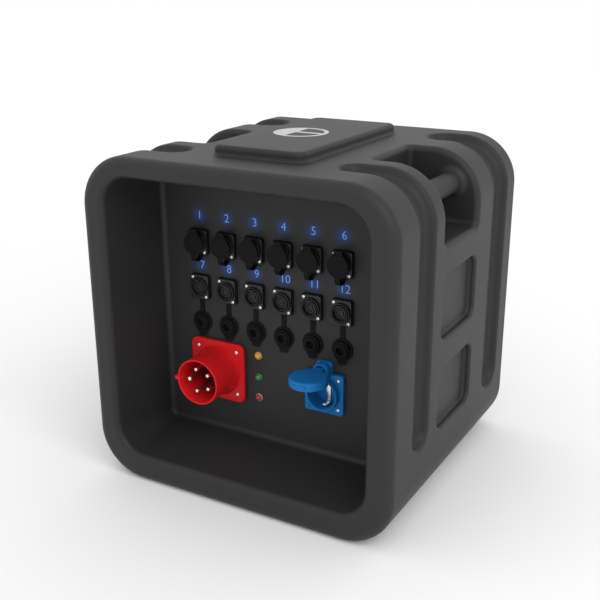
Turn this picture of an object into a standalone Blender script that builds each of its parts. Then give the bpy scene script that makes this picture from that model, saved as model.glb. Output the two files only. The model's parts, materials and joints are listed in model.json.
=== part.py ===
"""Portable power distribution box: a hollow moulded case with a recessed connector panel.

Frame: metres, +Z up, +X to the right as the panel is faced, the panel faces -Y.
The origin is the centre of the case's underside.
"""

import math

import bmesh
import bpy
from mathutils import Matrix, Vector

# ---------------------------------------------------------------- case
CASE_WIDTH = 0.406
CASE_DEPTH = 0.378
CASE_HEIGHT = 0.409
CASE_CORNER = 0.062          # long corner radius, seen from the front
CASE_EDGE = 0.013            # rounding of the front and rear edges
WALL = 0.005                 # moulded wall
REAR_WALL = 0.012

BAY_DEPTH = 0.100
BAY_SIDE_BORDER = 0.0318     # case side to the bay wall, at the mouth
BAY_TOP_BORDER = 0.0228
BAY_FLOOR_BORDER = 0.0345
BAY_DRAFT = 0.0118           # inward lean of each bay wall over its depth
BAY_MOUTH_CORNER = 0.038
BAY_PANEL_CORNER = 0.008
BAY_LIP = 0.0075             # rounding of the mouth

PLATFORM_WIDTH = 0.120
PLATFORM_LENGTH = 0.250
PLATFORM_HEIGHT = 0.012
PLATFORM_CORNER = 0.008
PLATFORM_DRAFT = 0.002

# Each groove: name, centre along Y, width, height of its lower end, inset of its upper end from the side.
GROOVES = (
    ("front", -0.111, 0.041, 0.098, 0.101),
    ("rear", 0.123, 0.049, 0.084, 0.094),
)
GROOVE_DEPTH = 0.009

POCKET_LENGTH = 0.104
POCKET_HEIGHT = 0.077
POCKET_CENTRE_Y = -0.007
POCKET_LEVELS = (0.1345, 0.2470)
POCKET_DEPTH = 0.008
POCKET_CORNER = 0.013
POCKET_DRAFT = 0.003

GRIP_FRONT_Y = -0.060        # handle recess, ends along Y
GRIP_REAR_Y = 0.043
GRIP_REACH = 0.091           # from the case side inward
GRIP_DROP = 0.088            # from the case top down
GRIP_ROOT_RADIUS = 0.024
BAR_RADIUS = 0.013
BAR_INSET = 0.035            # bar centre from the case side
BAR_DROP = 0.039             # bar centre from the case top
BAR_FLARE = 0.008

# ---------------------------------------------------------------- rear cover
COVER_WIDTH = 0.300
COVER_HEIGHT = 0.310
COVER_CORNER = 0.022
COVER_THICKNESS = 0.005
COVER_RECESS = 0.008
COVER_LIP = 0.012
COVER_SCREW_INSET = 0.012
COVER_SCREW_HEAD = 0.0042
COVER_SCREW_SHANK = 0.002
COVER_SCREW_LENGTH = 0.0075

# ---------------------------------------------------------------- outlets
OUTLET_COLUMNS = 6
OUTLET_PITCH = 0.0396
OUTLET_ARRAY_X = -0.0055
OUTLET_ROW_LEVELS = (0.2932, 0.2353)
FLANGE_WIDTH = 0.026
FLANGE_HEIGHT = 0.031
FLANGE_CORNER = 0.003
FLANGE_THICKNESS = 0.0036
BOSS_RADIUS = 0.0126
BOSS_HEIGHT = 0.0008
BARREL_RADIUS = 0.0104
BARREL_LENGTH = 0.0045
OUTLET_WELL_RADIUS = 0.0093
OUTLET_WELL_DEPTH = 0.008
CORE_RADIUS = 0.0066
CORE_RECESS = 0.0044         # barrel's rim down to the face of the core
OUTLET_REAR_RADIUS = 0.0108
OUTLET_REAR_LENGTH = 0.024
GASKET_THICKNESS = 0.0015
STRAP_WIDTH = 0.0065
HINGE_DROP = 0.0232          # outlet centre down to the strap's fold axis
CAP_RADIUS = 0.0138
CAP_DISC = 0.0016            # thickness of the cap's disc
CAP_SHOULDER_RADIUS = 0.0110
CAP_SHOULDER = 0.0040        # shoulder that seats on the barrel's rim
CAP_PLUG = 0.0022            # how far the cap's nose enters the barrel
CAP_HOLLOW_RADIUS = 0.0050
CAP_HOLLOW_DEPTH = 0.0060
CAP_TAB_WIDTH = 0.0110
CAP_TAB_LENGTH = 0.0051
CAP_TAB_THICKNESS = 0.0025
LOWER_ROW_HANGING = 180.0

# ---------------------------------------------------------------- mains inlet
INLET_X = -0.0803
INLET_Z = 0.1288
INLET_FLANGE = 0.078
INLET_FLANGE_CORNER = 0.009
INLET_FLANGE_THICKNESS = 0.0045
INLET_TUBE_RADIUS = 0.0295
INLET_TUBE_BORE = 0.0272
INLET_ROOT_RADIUS = 0.033
INLET_REACH = 0.052
INLET_FLOOR = 0.009
INLET_REAR_RADIUS = 0.030
INLET_REAR_LENGTH = 0.040
PIN_CIRCLE = 0.0151
PIN_FIRST_ANGLE = 37.0
PIN_COUNT = 5
PIN_RADIUS = 0.0025
EARTH_PIN_RADIUS = 0.003
PIN_REACH = 0.048
PIN_SEAT = 0.012
KEY_WIDTH = 0.005
KEY_HEIGHT = 0.0035

# ---------------------------------------------------------------- lamps
LAMP_X = -0.0225
LAMP_LEVELS = (("amber", 0.1576), ("green", 0.1286), ("red", 0.1013))
LAMP_RADIUS = 0.0042
LAMP_BEZEL = 0.0051
LAMP_REACH = 0.0055
LAMP_NECK = 0.0038
LAMP_REAR = 0.012

# ---------------------------------------------------------------- domestic socket
SOCKET_X = 0.0715
SOCKET_Z = 0.130
SOCKET_FLANGE = 0.052
SOCKET_FLANGE_CORNER = 0.003
SOCKET_FLANGE_THICKNESS = 0.005
COLLAR_RADIUS = 0.0204
SOCKET_WELL = 0.0186
COLLAR_REACH = 0.0128
SOCKET_WELL_DEPTH = 0.0206
SOCKET_REAR_RADIUS = 0.0198
SOCKET_REAR_LENGTH = 0.030
CONTACT_SPACING = 0.019
CONTACT_RADIUS = 0.0027
CONTACT_DEPTH = 0.010
CLIP_WIDTH = 0.0064
CLIP_THICKNESS = 0.0012
CLIP_RISE = 0.012
LID_RADIUS = 0.0231
LID_RECESS = 0.0220
LID_THICKNESS = 0.0102
LID_FACE = 0.0027
LID_PIVOT_RISE = 0.0314      # socket centre up to the lid's pivot
LID_PIVOT_OUT = 0.0112       # panel out to the lid's pivot
LID_ABOVE_PIVOT = 0.0051
KNUCKLE_RADIUS = 0.0034
KNUCKLE_WIDTH = 0.0105
EAR_WIDTH = 0.0045
EAR_HEIGHT = 0.0068
CROWN_CORNER = 0.005         # the plate behind the lid's hinge
CROWN_STEP = 0.0004          # how far it stands in front of the flange
LID_PIN_RADIUS = 0.0015

# ---------------------------------------------------------------- inside
TERMINAL_SIZE = (0.120, 0.030, 0.026)
TERMINAL_LEVEL = 0.1920
EARTH_BAR_SIZE = (0.150, 0.006, 0.012)
EARTH_BAR_LEVEL = 0.0760

GAP = 0.0003                 # between faces that touch
RUN = 0.0004                 # round a turning or sliding fit
EPS = 0.002                  # how far a cutter runs past what it cuts

PANEL_Y = -CASE_DEPTH / 2 + BAY_DEPTH
PANEL_BACK_Y = PANEL_Y + WALL
GASKET_OUT = GAP + GASKET_THICKNESS
FLANGE_OUT = GASKET_OUT + GAP + FLANGE_THICKNESS
BARREL_OUT = FLANGE_OUT + BARREL_LENGTH
CAP_OUT = BARREL_OUT + GAP + CAP_SHOULDER + CAP_DISC
HINGE_OUT = (CAP_OUT + GAP) / 2


# ================================================================ scene and materials
def clear_scene():
    for item in list(bpy.data.objects):
        bpy.data.objects.remove(item, do_unlink=True)


def make_collection(name):
    collection = bpy.data.collections.new(name)
    bpy.context.scene.collection.children.link(collection)
    return collection


def make_material(name, colour, roughness, metallic=0.0):
    material = bpy.data.materials.new(name)
    material.use_nodes = True
    shader = material.node_tree.nodes["Principled BSDF"]
    shader.inputs["Base Color"].default_value = (*colour, 1.0)
    shader.inputs["Roughness"].default_value = roughness
    shader.inputs["Metallic"].default_value = metallic
    return material


clear_scene()
PARTS = make_collection("power_distribution_box")
CUTTERS = make_collection("cutters")
CASE_GREY = make_material("case_polyethylene", (0.075, 0.075, 0.078), 0.55)
COVER_GREY = make_material("cover_plastic", (0.035, 0.035, 0.037), 0.5)
CONNECTOR_BLACK = make_material("connector_polyamide", (0.012, 0.012, 0.013), 0.45)
CAP_RUBBER = make_material("cap_rubber", (0.016, 0.016, 0.017), 0.7)
INLET_RED = make_material("inlet_polyamide", (0.55, 0.02, 0.022), 0.35)
SOCKET_BLUE = make_material("socket_polyamide", (0.02, 0.13, 0.38), 0.35)
PIN_METAL = make_material("plated_brass", (0.75, 0.74, 0.70), 0.25, 1.0)
STEEL = make_material("zinc_steel", (0.6, 0.6, 0.62), 0.3, 1.0)
LAMP_COLOURS = {
    "amber": make_material("lamp_amber", (0.62, 0.33, 0.06), 0.2),
    "green": make_material("lamp_green", (0.03, 0.22, 0.07), 0.2),
    "red": make_material("lamp_red", (0.45, 0.03, 0.03), 0.2),
}


# ================================================================ shape tools
def finish(name, bm, collection, material=None):
    """Turn a bmesh into an object of the given collection."""
    bmesh.ops.recalc_face_normals(bm, faces=bm.faces)
    mesh = bpy.data.meshes.new(name)
    bm.to_mesh(mesh)
    bm.free()
    item = bpy.data.objects.new(name, mesh)
    collection.objects.link(item)
    if material is not None:
        mesh.materials.append(material)
        mesh.shade_smooth()
        mesh.set_sharp_from_angle(angle=math.radians(35))
    if collection is CUTTERS:
        item.hide_render = True
        item.display_type = "WIRE"
    return item


def rounded_outline(half_width, half_height, radius, steps):
    """Corner arcs of a rounded rectangle, anticlockwise from the lower right."""
    points = []
    corners = ((1, -1, -90), (1, 1, 0), (-1, 1, 90), (-1, -1, 180))
    for side_u, side_v, start in corners:
        centre_u = side_u * (half_width - radius)
        centre_v = side_v * (half_height - radius)
        for step in range(steps + 1):
            angle = math.radians(start + 90.0 * step / steps)
            points.append((centre_u + radius * math.cos(angle), centre_v + radius * math.sin(angle)))
    return points


def loft(name, rings, collection=None, material=None):
    """Closed solid through rings of points that all have the same count."""
    bm = bmesh.new()
    layers = [[bm.verts.new(point) for point in ring] for ring in rings]
    count = len(layers[0])
    for lower, upper in zip(layers, layers[1:]):
        for index in range(count):
            after = (index + 1) % count
            bm.faces.new((lower[index], lower[after], upper[after], upper[index]))
    bm.faces.new(layers[0])
    bm.faces.new(layers[-1])
    return finish(name, bm, collection or CUTTERS, material)


def outline_along_y(outline, centre_x, centre_z, y):
    return [(centre_x + u, y, centre_z + v) for u, v in outline]


def plate(name, width, height, corner, y_front, y_back, centre, collection=None, material=None, steps=4):
    """Rounded plate that faces -Y."""
    outline = rounded_outline(width / 2, height / 2, corner, steps)
    rings = [outline_along_y(outline, centre[0], centre[1], y) for y in (y_front, y_back)]
    return loft(name, rings, collection, material)


def block(name, size, centre, collection=None, material=None, bevel=0.0):
    bm = bmesh.new()
    bmesh.ops.create_cube(bm, size=1.0)
    bmesh.ops.scale(bm, vec=size, verts=bm.verts)
    if bevel:
        bmesh.ops.bevel(bm, geom=bm.edges[:], offset=bevel, segments=2, profile=0.5, affect="EDGES")
    bmesh.ops.translate(bm, vec=centre, verts=bm.verts)
    return finish(name, bm, collection or CUTTERS, material)


def rod(name, radius, start, end, collection=None, material=None, sides=16):
    """Cylinder between two points."""
    start = Vector(start)
    end = Vector(end)
    turn = (end - start).to_track_quat("Z", "Y").to_matrix().to_4x4()
    bm = bmesh.new()
    bmesh.ops.create_cone(
        bm, cap_ends=True, segments=sides, radius1=radius, radius2=radius,
        depth=(end - start).length, matrix=Matrix.Translation((start + end) / 2) @ turn,
    )
    return finish(name, bm, collection or CUTTERS, material)


def bake(item):
    """Replace an object's mesh by what its modifiers make of it."""
    graph = bpy.context.evaluated_depsgraph_get()
    mesh = bpy.data.meshes.new_from_object(item.evaluated_get(graph))
    mesh.transform(item.matrix_basis)
    item.matrix_basis = Matrix.Identity(4)
    item.modifiers.clear()
    item.data = mesh
    return item


def turned(name, profile, centre, collection=None, material=None, steps=24, axis="Y"):
    """Profile of (radius, distance out) points turned about an axis; closed when it ends on the axis.

    Distance out is measured towards -Y, or along +Y from the centre when the axis is "+Y".
    """
    bm = bmesh.new()
    points = [bm.verts.new((radius, 0.0, out)) for radius, out in profile]
    for first, second in zip(points, points[1:]):
        bm.edges.new((first, second))
    if profile[0][0] > 0.0:
        bm.edges.new((points[-1], points[0]))
    mesh = bpy.data.meshes.new(name)
    bm.to_mesh(mesh)
    bm.free()
    item = bpy.data.objects.new(name, mesh)
    (collection or CUTTERS).objects.link(item)
    screw = item.modifiers.new("turn", "SCREW")
    screw.steps = steps
    screw.render_steps = steps
    screw.use_merge_vertices = True
    screw.merge_threshold = 0.00001
    tilt = 90.0 if axis == "Y" else -90.0
    item.matrix_basis = Matrix.Translation(centre) @ Matrix.Rotation(math.radians(tilt), 4, "X")
    bpy.context.view_layer.update()
    bake(item)
    bm = bmesh.new()
    bm.from_mesh(item.data)
    (collection or CUTTERS).objects.unlink(item)
    bpy.data.objects.remove(item)
    return finish(name, bm, collection or CUTTERS, material)


def combine(item, other, operation):
    modifier = item.modifiers.new(operation.lower(), "BOOLEAN")
    modifier.operation = operation
    modifier.solver = "EXACT"
    modifier.object = other
    return item


def cut(item, other):
    return combine(item, other, "DIFFERENCE")


def add(item, other):
    return combine(item, other, "UNION")


def settle(item, *used):
    """Fix an object's Booleans into its mesh and drop the pieces that they used."""
    bake(item)
    for other in used:
        bpy.data.objects.remove(other, do_unlink=True)
    item.data.shade_smooth()
    item.data.set_sharp_from_angle(angle=math.radians(35))
    return item


def place_copy(source, name, offset, parent=None):
    """Another object on the same mesh."""
    item = bpy.data.objects.new(name, source.data)
    PARTS.objects.link(item)
    item.location = offset
    item.parent = parent
    return item


def drop(item):
    bpy.data.objects.remove(item, do_unlink=True)


# ================================================================ case
def case_body(name, inset, rear_inset, collection, material=None):
    """The case's outer form, or its hollow when inset."""
    half_width = CASE_WIDTH / 2 - inset
    half_height = CASE_HEIGHT / 2 - inset
    corner = CASE_CORNER - inset
    edge = CASE_EDGE - inset
    front = -CASE_DEPTH / 2 + inset
    back = CASE_DEPTH / 2 - rear_inset
    rings = []
    for end, direction in ((front, 1), (back, -1)):
        quarter = []
        for step in range(4):
            angle = math.radians(90.0 * step / 3)
            shrink = edge * (1 - math.sin(angle))
            y = end + direction * edge * (1 - math.cos(angle))
            outline = rounded_outline(half_width - shrink, half_height - shrink, corner - shrink, 8)
            quarter.append(outline_along_y(outline, 0.0, CASE_HEIGHT / 2, y))
        rings += quarter if direction == 1 else quarter[::-1]
    return loft(name, rings, collection, material)


def bay_cutter(name, grow):
    """The recess in front of the panel: rounded at the mouth, leaning in towards the panel."""
    floor = BAY_FLOOR_BORDER
    ceiling = CASE_HEIGHT - BAY_TOP_BORDER
    centre_z = (floor + ceiling) / 2
    half_width = CASE_WIDTH / 2 - BAY_SIDE_BORDER + grow
    half_height = (ceiling - floor) / 2 + grow
    mouth = -CASE_DEPTH / 2
    rings = []
    for step in range(4):
        angle = math.radians(90.0 * step / 3)
        flare = BAY_LIP * (1 - math.sin(angle))
        y = mouth + BAY_LIP * (1 - math.cos(angle))
        outline = rounded_outline(
            half_width + flare, half_height + flare, BAY_MOUTH_CORNER + grow + flare, 6
        )
        if step == 0:
            rings.append(outline_along_y(outline, 0.0, centre_z, y - CASE_EDGE))
        rings.append(outline_along_y(outline, 0.0, centre_z, y))
    inner = rounded_outline(half_width - BAY_DRAFT, half_height - BAY_DRAFT, BAY_PANEL_CORNER + grow, 6)
    rings.append(outline_along_y(inner, 0.0, centre_z, PANEL_Y + grow))
    return loft(name, rings)


def groove_path(lower_end, upper_inset):
    """Stations (x, z, normal angle from the side) of a groove, from its lower end over the corner."""
    corner_x = CASE_WIDTH / 2 - CASE_CORNER
    corner_z = CASE_HEIGHT - CASE_CORNER
    upper_x = CASE_WIDTH / 2 - upper_inset
    stations = []
    for share in (0.0, 0.02, 0.05, 0.09, 0.5, 1.0):
        stations.append((CASE_WIDTH / 2, lower_end + share * (corner_z - lower_end), 0.0))
    for step in range(1, 9):
        angle = 90.0 * step / 8
        turn = math.radians(angle)
        x = corner_x + CASE_CORNER * math.cos(turn)
        stations.append((x, corner_z + CASE_CORNER * math.sin(turn), angle))
    for share in (0.55, 0.8, 0.94, 1.0):
        stations.append((corner_x + share * (upper_x - corner_x), CASE_HEIGHT, 90.0))
    return stations


def groove_cutter(name, side, centre_y, width, lower_end, upper_inset, grow):
    """Round-bottomed channel that runs up the side and over onto the top, with rounded ends."""
    stations = groove_path(lower_end, upper_inset)
    lengths = [0.0]
    for first, second in zip(stations, stations[1:]):
        lengths.append(lengths[-1] + math.hypot(second[0] - first[0], second[1] - first[1]))
    end_radius = width / 2
    rings = []
    for (x, z, angle), length in zip(stations, lengths):
        from_end = min(length, lengths[-1] - length)
        fade = min(1.0, from_end / end_radius)
        share = math.sqrt(max(0.0, 1.0 - (1.0 - fade) ** 2))
        half = (width / 2) * (0.25 + 0.75 * share) + grow
        depth = GROOVE_DEPTH * (0.12 + 0.88 * share) + grow
        normal = (math.cos(math.radians(angle)), math.sin(math.radians(angle)))
        section = ((-1.0, -EPS / depth), (-1.0, 0.0), (-0.78, 0.7), (-0.45, 1.0),
                   (0.45, 1.0), (0.78, 0.7), (1.0, 0.0), (1.0, -EPS / depth))
        rings.append([
            (side * (x - normal[0] * depth * deep), centre_y + half * across, z - normal[1] * depth * deep)
            for across, deep in section
        ])
    return loft(name, rings)


def pocket_cutter(name, side, level, grow):
    """Shallow moulded pocket in the side."""
    rings = []
    stops = ((-EPS, 0.0), (0.0, 0.0), (POCKET_DEPTH + grow, POCKET_DRAFT))
    for deep, lean in stops:
        outline = rounded_outline(
            POCKET_LENGTH / 2 - lean + grow, POCKET_HEIGHT / 2 - lean + grow, POCKET_CORNER - lean + grow, 4
        )
        x = side * (CASE_WIDTH / 2 - deep)
        rings.append([(x, POCKET_CENTRE_Y + u, level + v) for u, v in outline])
    return loft(name, rings)


def grip_cutter(name, side, grow):
    """Handle recess, open to the top and to the side."""
    inner_x = CASE_WIDTH / 2 - GRIP_REACH - grow
    floor_z = CASE_HEIGHT - GRIP_DROP - grow
    radius = GRIP_ROOT_RADIUS + grow
    outer_x = CASE_WIDTH / 2 + EPS
    top_z = CASE_HEIGHT + EPS
    outline = [(outer_x, floor_z), (outer_x, top_z), (inner_x, top_z)]
    for step in range(7):
        angle = math.radians(180.0 + 90.0 * step / 6)
        outline.append((inner_x + radius * (1 + math.cos(angle)), floor_z + radius * (1 + math.sin(angle))))
    ends = (GRIP_FRONT_Y - grow, GRIP_REAR_Y + grow)
    return loft(name, [[(side * x, y, z) for x, z in outline] for y in ends])


def grip_bar(name, side):
    """Round bar across the handle recess, flared into both end walls."""
    bite = WALL * 0.6
    start = GRIP_FRONT_Y - bite
    length = GRIP_REAR_Y - GRIP_FRONT_Y + 2 * bite
    half = []
    for step in range(4):
        angle = math.radians(90.0 * step / 3)
        half.append((BAR_RADIUS + BAR_FLARE * (1 - math.sin(angle)), bite + BAR_FLARE * (1 - math.cos(angle))))
    profile = [(0.0, 0.0), (half[0][0], 0.0)] + half
    profile += [(radius, length - along) for radius, along in reversed(half)]
    profile += [(half[0][0], length), (0.0, length)]
    centre = (side * (CASE_WIDTH / 2 - BAR_INSET), start, CASE_HEIGHT - BAR_DROP)
    return turned(name, profile, centre, steps=20, axis="+Y")


def outlet_positions():
    """Number, row, x and z of each outlet, left to right, upper row first."""
    places = []
    for row, level in enumerate(OUTLET_ROW_LEVELS):
        for column in range(OUTLET_COLUMNS):
            x = OUTLET_ARRAY_X + (column - (OUTLET_COLUMNS - 1) / 2) * OUTLET_PITCH
            places.append((row * OUTLET_COLUMNS + column + 1, row, x, level))
    return places


def panel_holes():
    """Cutters for every hole through the panel."""
    start = PANEL_Y - EPS
    end = PANEL_BACK_Y + EPS
    cutters = []
    for number, _row, x, z in outlet_positions():
        radius = OUTLET_REAR_RADIUS + RUN
        cutters.append(rod(f"cut_outlet_{number:02d}", radius, (x, start, z), (x, end, z), sides=20))
    for name, radius, x, z, sides in (
        ("inlet", INLET_REAR_RADIUS + RUN, INLET_X, INLET_Z, 32),
        ("socket", SOCKET_REAR_RADIUS + RUN, SOCKET_X, SOCKET_Z, 28),
    ):
        cutters.append(rod(f"cut_{name}", radius, (x, start, z), (x, end, z), sides=sides))
    for colour, z in LAMP_LEVELS:
        radius = LAMP_NECK + RUN
        cutters.append(rod(f"cut_lamp_{colour}", radius, (LAMP_X, start, z), (LAMP_X, end, z), sides=12))
    return cutters


def cover_screw_places():
    half_width = COVER_WIDTH / 2 - COVER_SCREW_INSET
    half_height = COVER_HEIGHT / 2 - COVER_SCREW_INSET
    middle = CASE_HEIGHT / 2
    return [(sx * half_width, middle + sz * half_height) for sx in (-1, 1) for sz in (-1, 1)]


def build_platform():
    base = rounded_outline(PLATFORM_WIDTH / 2, PLATFORM_LENGTH / 2, PLATFORM_CORNER, 4)
    top = rounded_outline(
        PLATFORM_WIDTH / 2 - PLATFORM_DRAFT, PLATFORM_LENGTH / 2 - PLATFORM_DRAFT,
        PLATFORM_CORNER - PLATFORM_DRAFT, 4,
    )
    levels = ((base, CASE_HEIGHT - WALL * 0.6), (top, CASE_HEIGHT + PLATFORM_HEIGHT))
    return loft("add_platform", [[(u, v, z) for u, v in outline] for outline, z in levels])


def build_hollow():
    """The room inside the case: the outer form inset, kept clear of everything moulded inward."""
    hollow = case_body("cut_hollow", WALL + 0.001, REAR_WALL, CUTTERS)
    kept = [bay_cutter("keep_bay", WALL)]
    for side in (-1, 1):
        for groove, centre_y, width, lower_end, upper_inset in GROOVES:
            name = f"keep_groove_{groove}_{side}"
            kept.append(groove_cutter(name, side, centre_y, width, lower_end, upper_inset, WALL))
        for index, level in enumerate(POCKET_LEVELS):
            kept.append(pocket_cutter(f"keep_pocket_{index}_{side}", side, level, WALL))
        kept.append(grip_cutter(f"keep_grip_{side}", side, WALL))
    for piece in kept:
        cut(hollow, piece)
    return settle(hollow, *kept)


def build_case():
    case = case_body("case_shell", 0.0, 0.0, PARTS, CASE_GREY)
    add(case, build_platform())
    cut(case, bay_cutter("cut_bay", 0.0))
    for side in (-1, 1):
        for groove, centre_y, width, lower_end, upper_inset in GROOVES:
            name = f"cut_groove_{groove}_{side}"
            cut(case, groove_cutter(name, side, centre_y, width, lower_end, upper_inset, 0.0))
        for index, level in enumerate(POCKET_LEVELS):
            cut(case, pocket_cutter(f"cut_pocket_{index}_{side}", side, level, 0.0))
        cut(case, grip_cutter(f"cut_grip_{side}", side, 0.0))
    cut(case, build_hollow())
    for side in (-1, 1):
        add(case, grip_bar(f"add_grip_bar_{side}", side))
    for hole in panel_holes():
        cut(case, hole)
    back = CASE_DEPTH / 2
    middle = (0.0, CASE_HEIGHT / 2)
    cut(case, plate("cut_cover_seat", COVER_WIDTH, COVER_HEIGHT, COVER_CORNER,
                    back - COVER_RECESS, back + EPS, middle))
    cut(case, plate("cut_cover_opening", COVER_WIDTH - 2 * COVER_LIP - 2 * COVER_SCREW_HEAD,
                    COVER_HEIGHT - 2 * COVER_LIP - 2 * COVER_SCREW_HEAD, COVER_CORNER,
                    back - REAR_WALL - EPS, back, middle))
    for index, (x, z) in enumerate(cover_screw_places()):
        start = (x, back - REAR_WALL - EPS, z)
        end = (x, back, z)
        cut(case, rod(f"cut_cover_screw_{index + 1}", COVER_SCREW_SHANK + GAP, start, end, sides=8))
    return case


def build_rear_cover():
    back = CASE_DEPTH / 2
    inner = back - COVER_RECESS + GAP
    outer = inner + COVER_THICKNESS
    cover = plate("rear_cover", COVER_WIDTH - 2 * GAP, COVER_HEIGHT - 2 * GAP, COVER_CORNER - GAP,
                  inner, outer, (0.0, CASE_HEIGHT / 2), PARTS, COVER_GREY)
    for index, (x, z) in enumerate(cover_screw_places()):
        name = f"cut_cover_hole_{index + 1}"
        radius = COVER_SCREW_SHANK + GAP
        cut(cover, rod(name, radius, (x, inner - EPS, z), (x, outer + EPS, z), sides=12))
        head = back - outer - 2 * GAP
        profile = [
            (0.0, -COVER_SCREW_LENGTH), (COVER_SCREW_SHANK, -COVER_SCREW_LENGTH), (COVER_SCREW_SHANK, GAP),
            (COVER_SCREW_HEAD, GAP), (COVER_SCREW_HEAD, GAP + head * 0.55),
            (COVER_SCREW_HEAD * 0.7, GAP + head), (0.0, GAP + head),
        ]
        turned(f"rear_cover_screw_{index + 1}", profile, (x, outer, z), PARTS, STEEL, steps=12, axis="+Y")
    return cover


# ================================================================ outlets and their caps
def build_outlet():
    """One outlet about its own centre on the panel face: flange, barrel with its well, rear body."""
    body = plate("outlet_pattern", FLANGE_WIDTH, FLANGE_HEIGHT, FLANGE_CORNER,
                 -FLANGE_OUT, -FLANGE_OUT + FLANGE_THICKNESS, (0.0, 0.0), PARTS, CONNECTOR_BLACK, steps=3)
    shoulder = FLANGE_THICKNESS / 2
    floor_out = BARREL_OUT - OUTLET_WELL_DEPTH
    core_out = BARREL_OUT - CORE_RECESS
    profile = [
        (0.0, -OUTLET_REAR_LENGTH), (OUTLET_REAR_RADIUS, -OUTLET_REAR_LENGTH),
        (OUTLET_REAR_RADIUS, FLANGE_OUT - shoulder), (BOSS_RADIUS, FLANGE_OUT - shoulder),
        (BOSS_RADIUS, FLANGE_OUT + BOSS_HEIGHT), (BARREL_RADIUS, FLANGE_OUT + BOSS_HEIGHT),
        (BARREL_RADIUS, BARREL_OUT - 0.0006), (BARREL_RADIUS - 0.0004, BARREL_OUT),
        (OUTLET_WELL_RADIUS, BARREL_OUT), (OUTLET_WELL_RADIUS, floor_out), (CORE_RADIUS, floor_out),
        (CORE_RADIUS, core_out), (0.0, core_out),
    ]
    middle = (OUTLET_WELL_RADIUS + BARREL_RADIUS) / 2
    opening = rod("outlet_opening", middle, (0.0, -BARREL_OUT - EPS, 0.0), (0.0, EPS, 0.0), sides=20)
    core = turned("outlet_core", profile, (0.0, 0.0, 0.0), steps=20)
    cut(body, opening)
    add(body, core)
    return settle(body, core, opening)


def build_gasket():
    """Sealing plate under an outlet's flange, with the fixed half of the cap's strap."""
    front = -GASKET_OUT
    plate_body = plate("gasket_pattern", FLANGE_WIDTH + 0.001, FLANGE_HEIGHT + 0.001, FLANGE_CORNER,
                       front, -GAP, (0.0, 0.0), PARTS, CAP_RUBBER, steps=3)
    hole = rod("gasket_hole", OUTLET_REAR_RADIUS + RUN, (0.0, front - EPS, 0.0), (0.0, EPS, 0.0), sides=20)
    top = -FLANGE_HEIGHT / 2 + 0.001
    bottom = -HINGE_DROP + GAP / 2
    tongue = block("gasket_tongue", (STRAP_WIDTH, GASKET_THICKNESS, top - bottom),
                   (0.0, (front - GAP) / 2, (top + bottom) / 2))
    add(plate_body, tongue)
    cut(plate_body, hole)
    return settle(plate_body, tongue, hole)


def build_cap():
    """Push-on cap in its closed place about the strap's fold axis, with its half of the strap."""
    centre_z = HINGE_DROP
    seat_out = BARREL_OUT + GAP
    nose_out = seat_out - CAP_PLUG
    nose_radius = OUTLET_WELL_RADIUS - RUN
    disc_out = CAP_OUT - CAP_DISC
    profile = [
        (0.0, nose_out + CAP_HOLLOW_DEPTH), (CAP_HOLLOW_RADIUS, nose_out + CAP_HOLLOW_DEPTH),
        (CAP_HOLLOW_RADIUS, nose_out), (nose_radius, nose_out), (nose_radius, seat_out),
        (CAP_SHOULDER_RADIUS, seat_out), (CAP_SHOULDER_RADIUS, disc_out), (CAP_RADIUS, disc_out),
        (CAP_RADIUS, CAP_OUT - 0.0006), (CAP_RADIUS - 0.0006, CAP_OUT), (0.0, CAP_OUT),
    ]
    cap = turned("cap_pattern", profile, (0.0, HINGE_OUT, centre_z), PARTS, CAP_RUBBER, steps=20)
    front = HINGE_OUT - CAP_OUT
    tail_top = centre_z - CAP_RADIUS + 0.0015
    tail = block("cap_tail", (STRAP_WIDTH, GASKET_THICKNESS, tail_top - GAP / 2),
                 (0.0, front + GASKET_THICKNESS / 2, (tail_top + GAP / 2) / 2))
    tab_low = centre_z + CAP_RADIUS - 0.0015
    tab = block("cap_tab", (CAP_TAB_WIDTH, CAP_TAB_THICKNESS, CAP_TAB_LENGTH + 0.0015),
                (0.0, front + 0.0005 + CAP_TAB_THICKNESS / 2, tab_low + (CAP_TAB_LENGTH + 0.0015) / 2))
    add(cap, tail)
    add(cap, tab)
    return settle(cap, tail, tab)


def build_outlets():
    outlet = build_outlet()
    gasket = build_gasket()
    cap = build_cap()
    for number, row, x, z in outlet_positions():
        place_copy(outlet, f"outlet_{number:02d}", (x, PANEL_Y, z))
        place_copy(gasket, f"cap_gasket_{number:02d}", (x, PANEL_Y, z))
        pivot = bpy.data.objects.new(f"cap_pivot_{number:02d}", None)
        PARTS.objects.link(pivot)
        pivot.location = (x, PANEL_Y - HINGE_OUT, z - HINGE_DROP)
        if row == 1:
            pivot.rotation_euler = (math.radians(LOWER_ROW_HANGING), 0.0, 0.0)
        place_copy(cap, f"cap_{number:02d}", (0.0, 0.0, 0.0), pivot)
    for pattern in (outlet, gasket, cap):
        drop(pattern)


# ================================================================ mains inlet
def pin_places():
    """Angle and place of each inlet pin; the first on the left, by the key, is the earth pin."""
    places = []
    for index in range(PIN_COUNT):
        angle = math.radians(PIN_FIRST_ANGLE + 360.0 * index / PIN_COUNT)
        x = INLET_X + PIN_CIRCLE * math.cos(angle)
        z = INLET_Z + PIN_CIRCLE * math.sin(angle)
        radius = EARTH_PIN_RADIUS if index == 2 else PIN_RADIUS
        places.append((x, z, radius))
    return places


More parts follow.
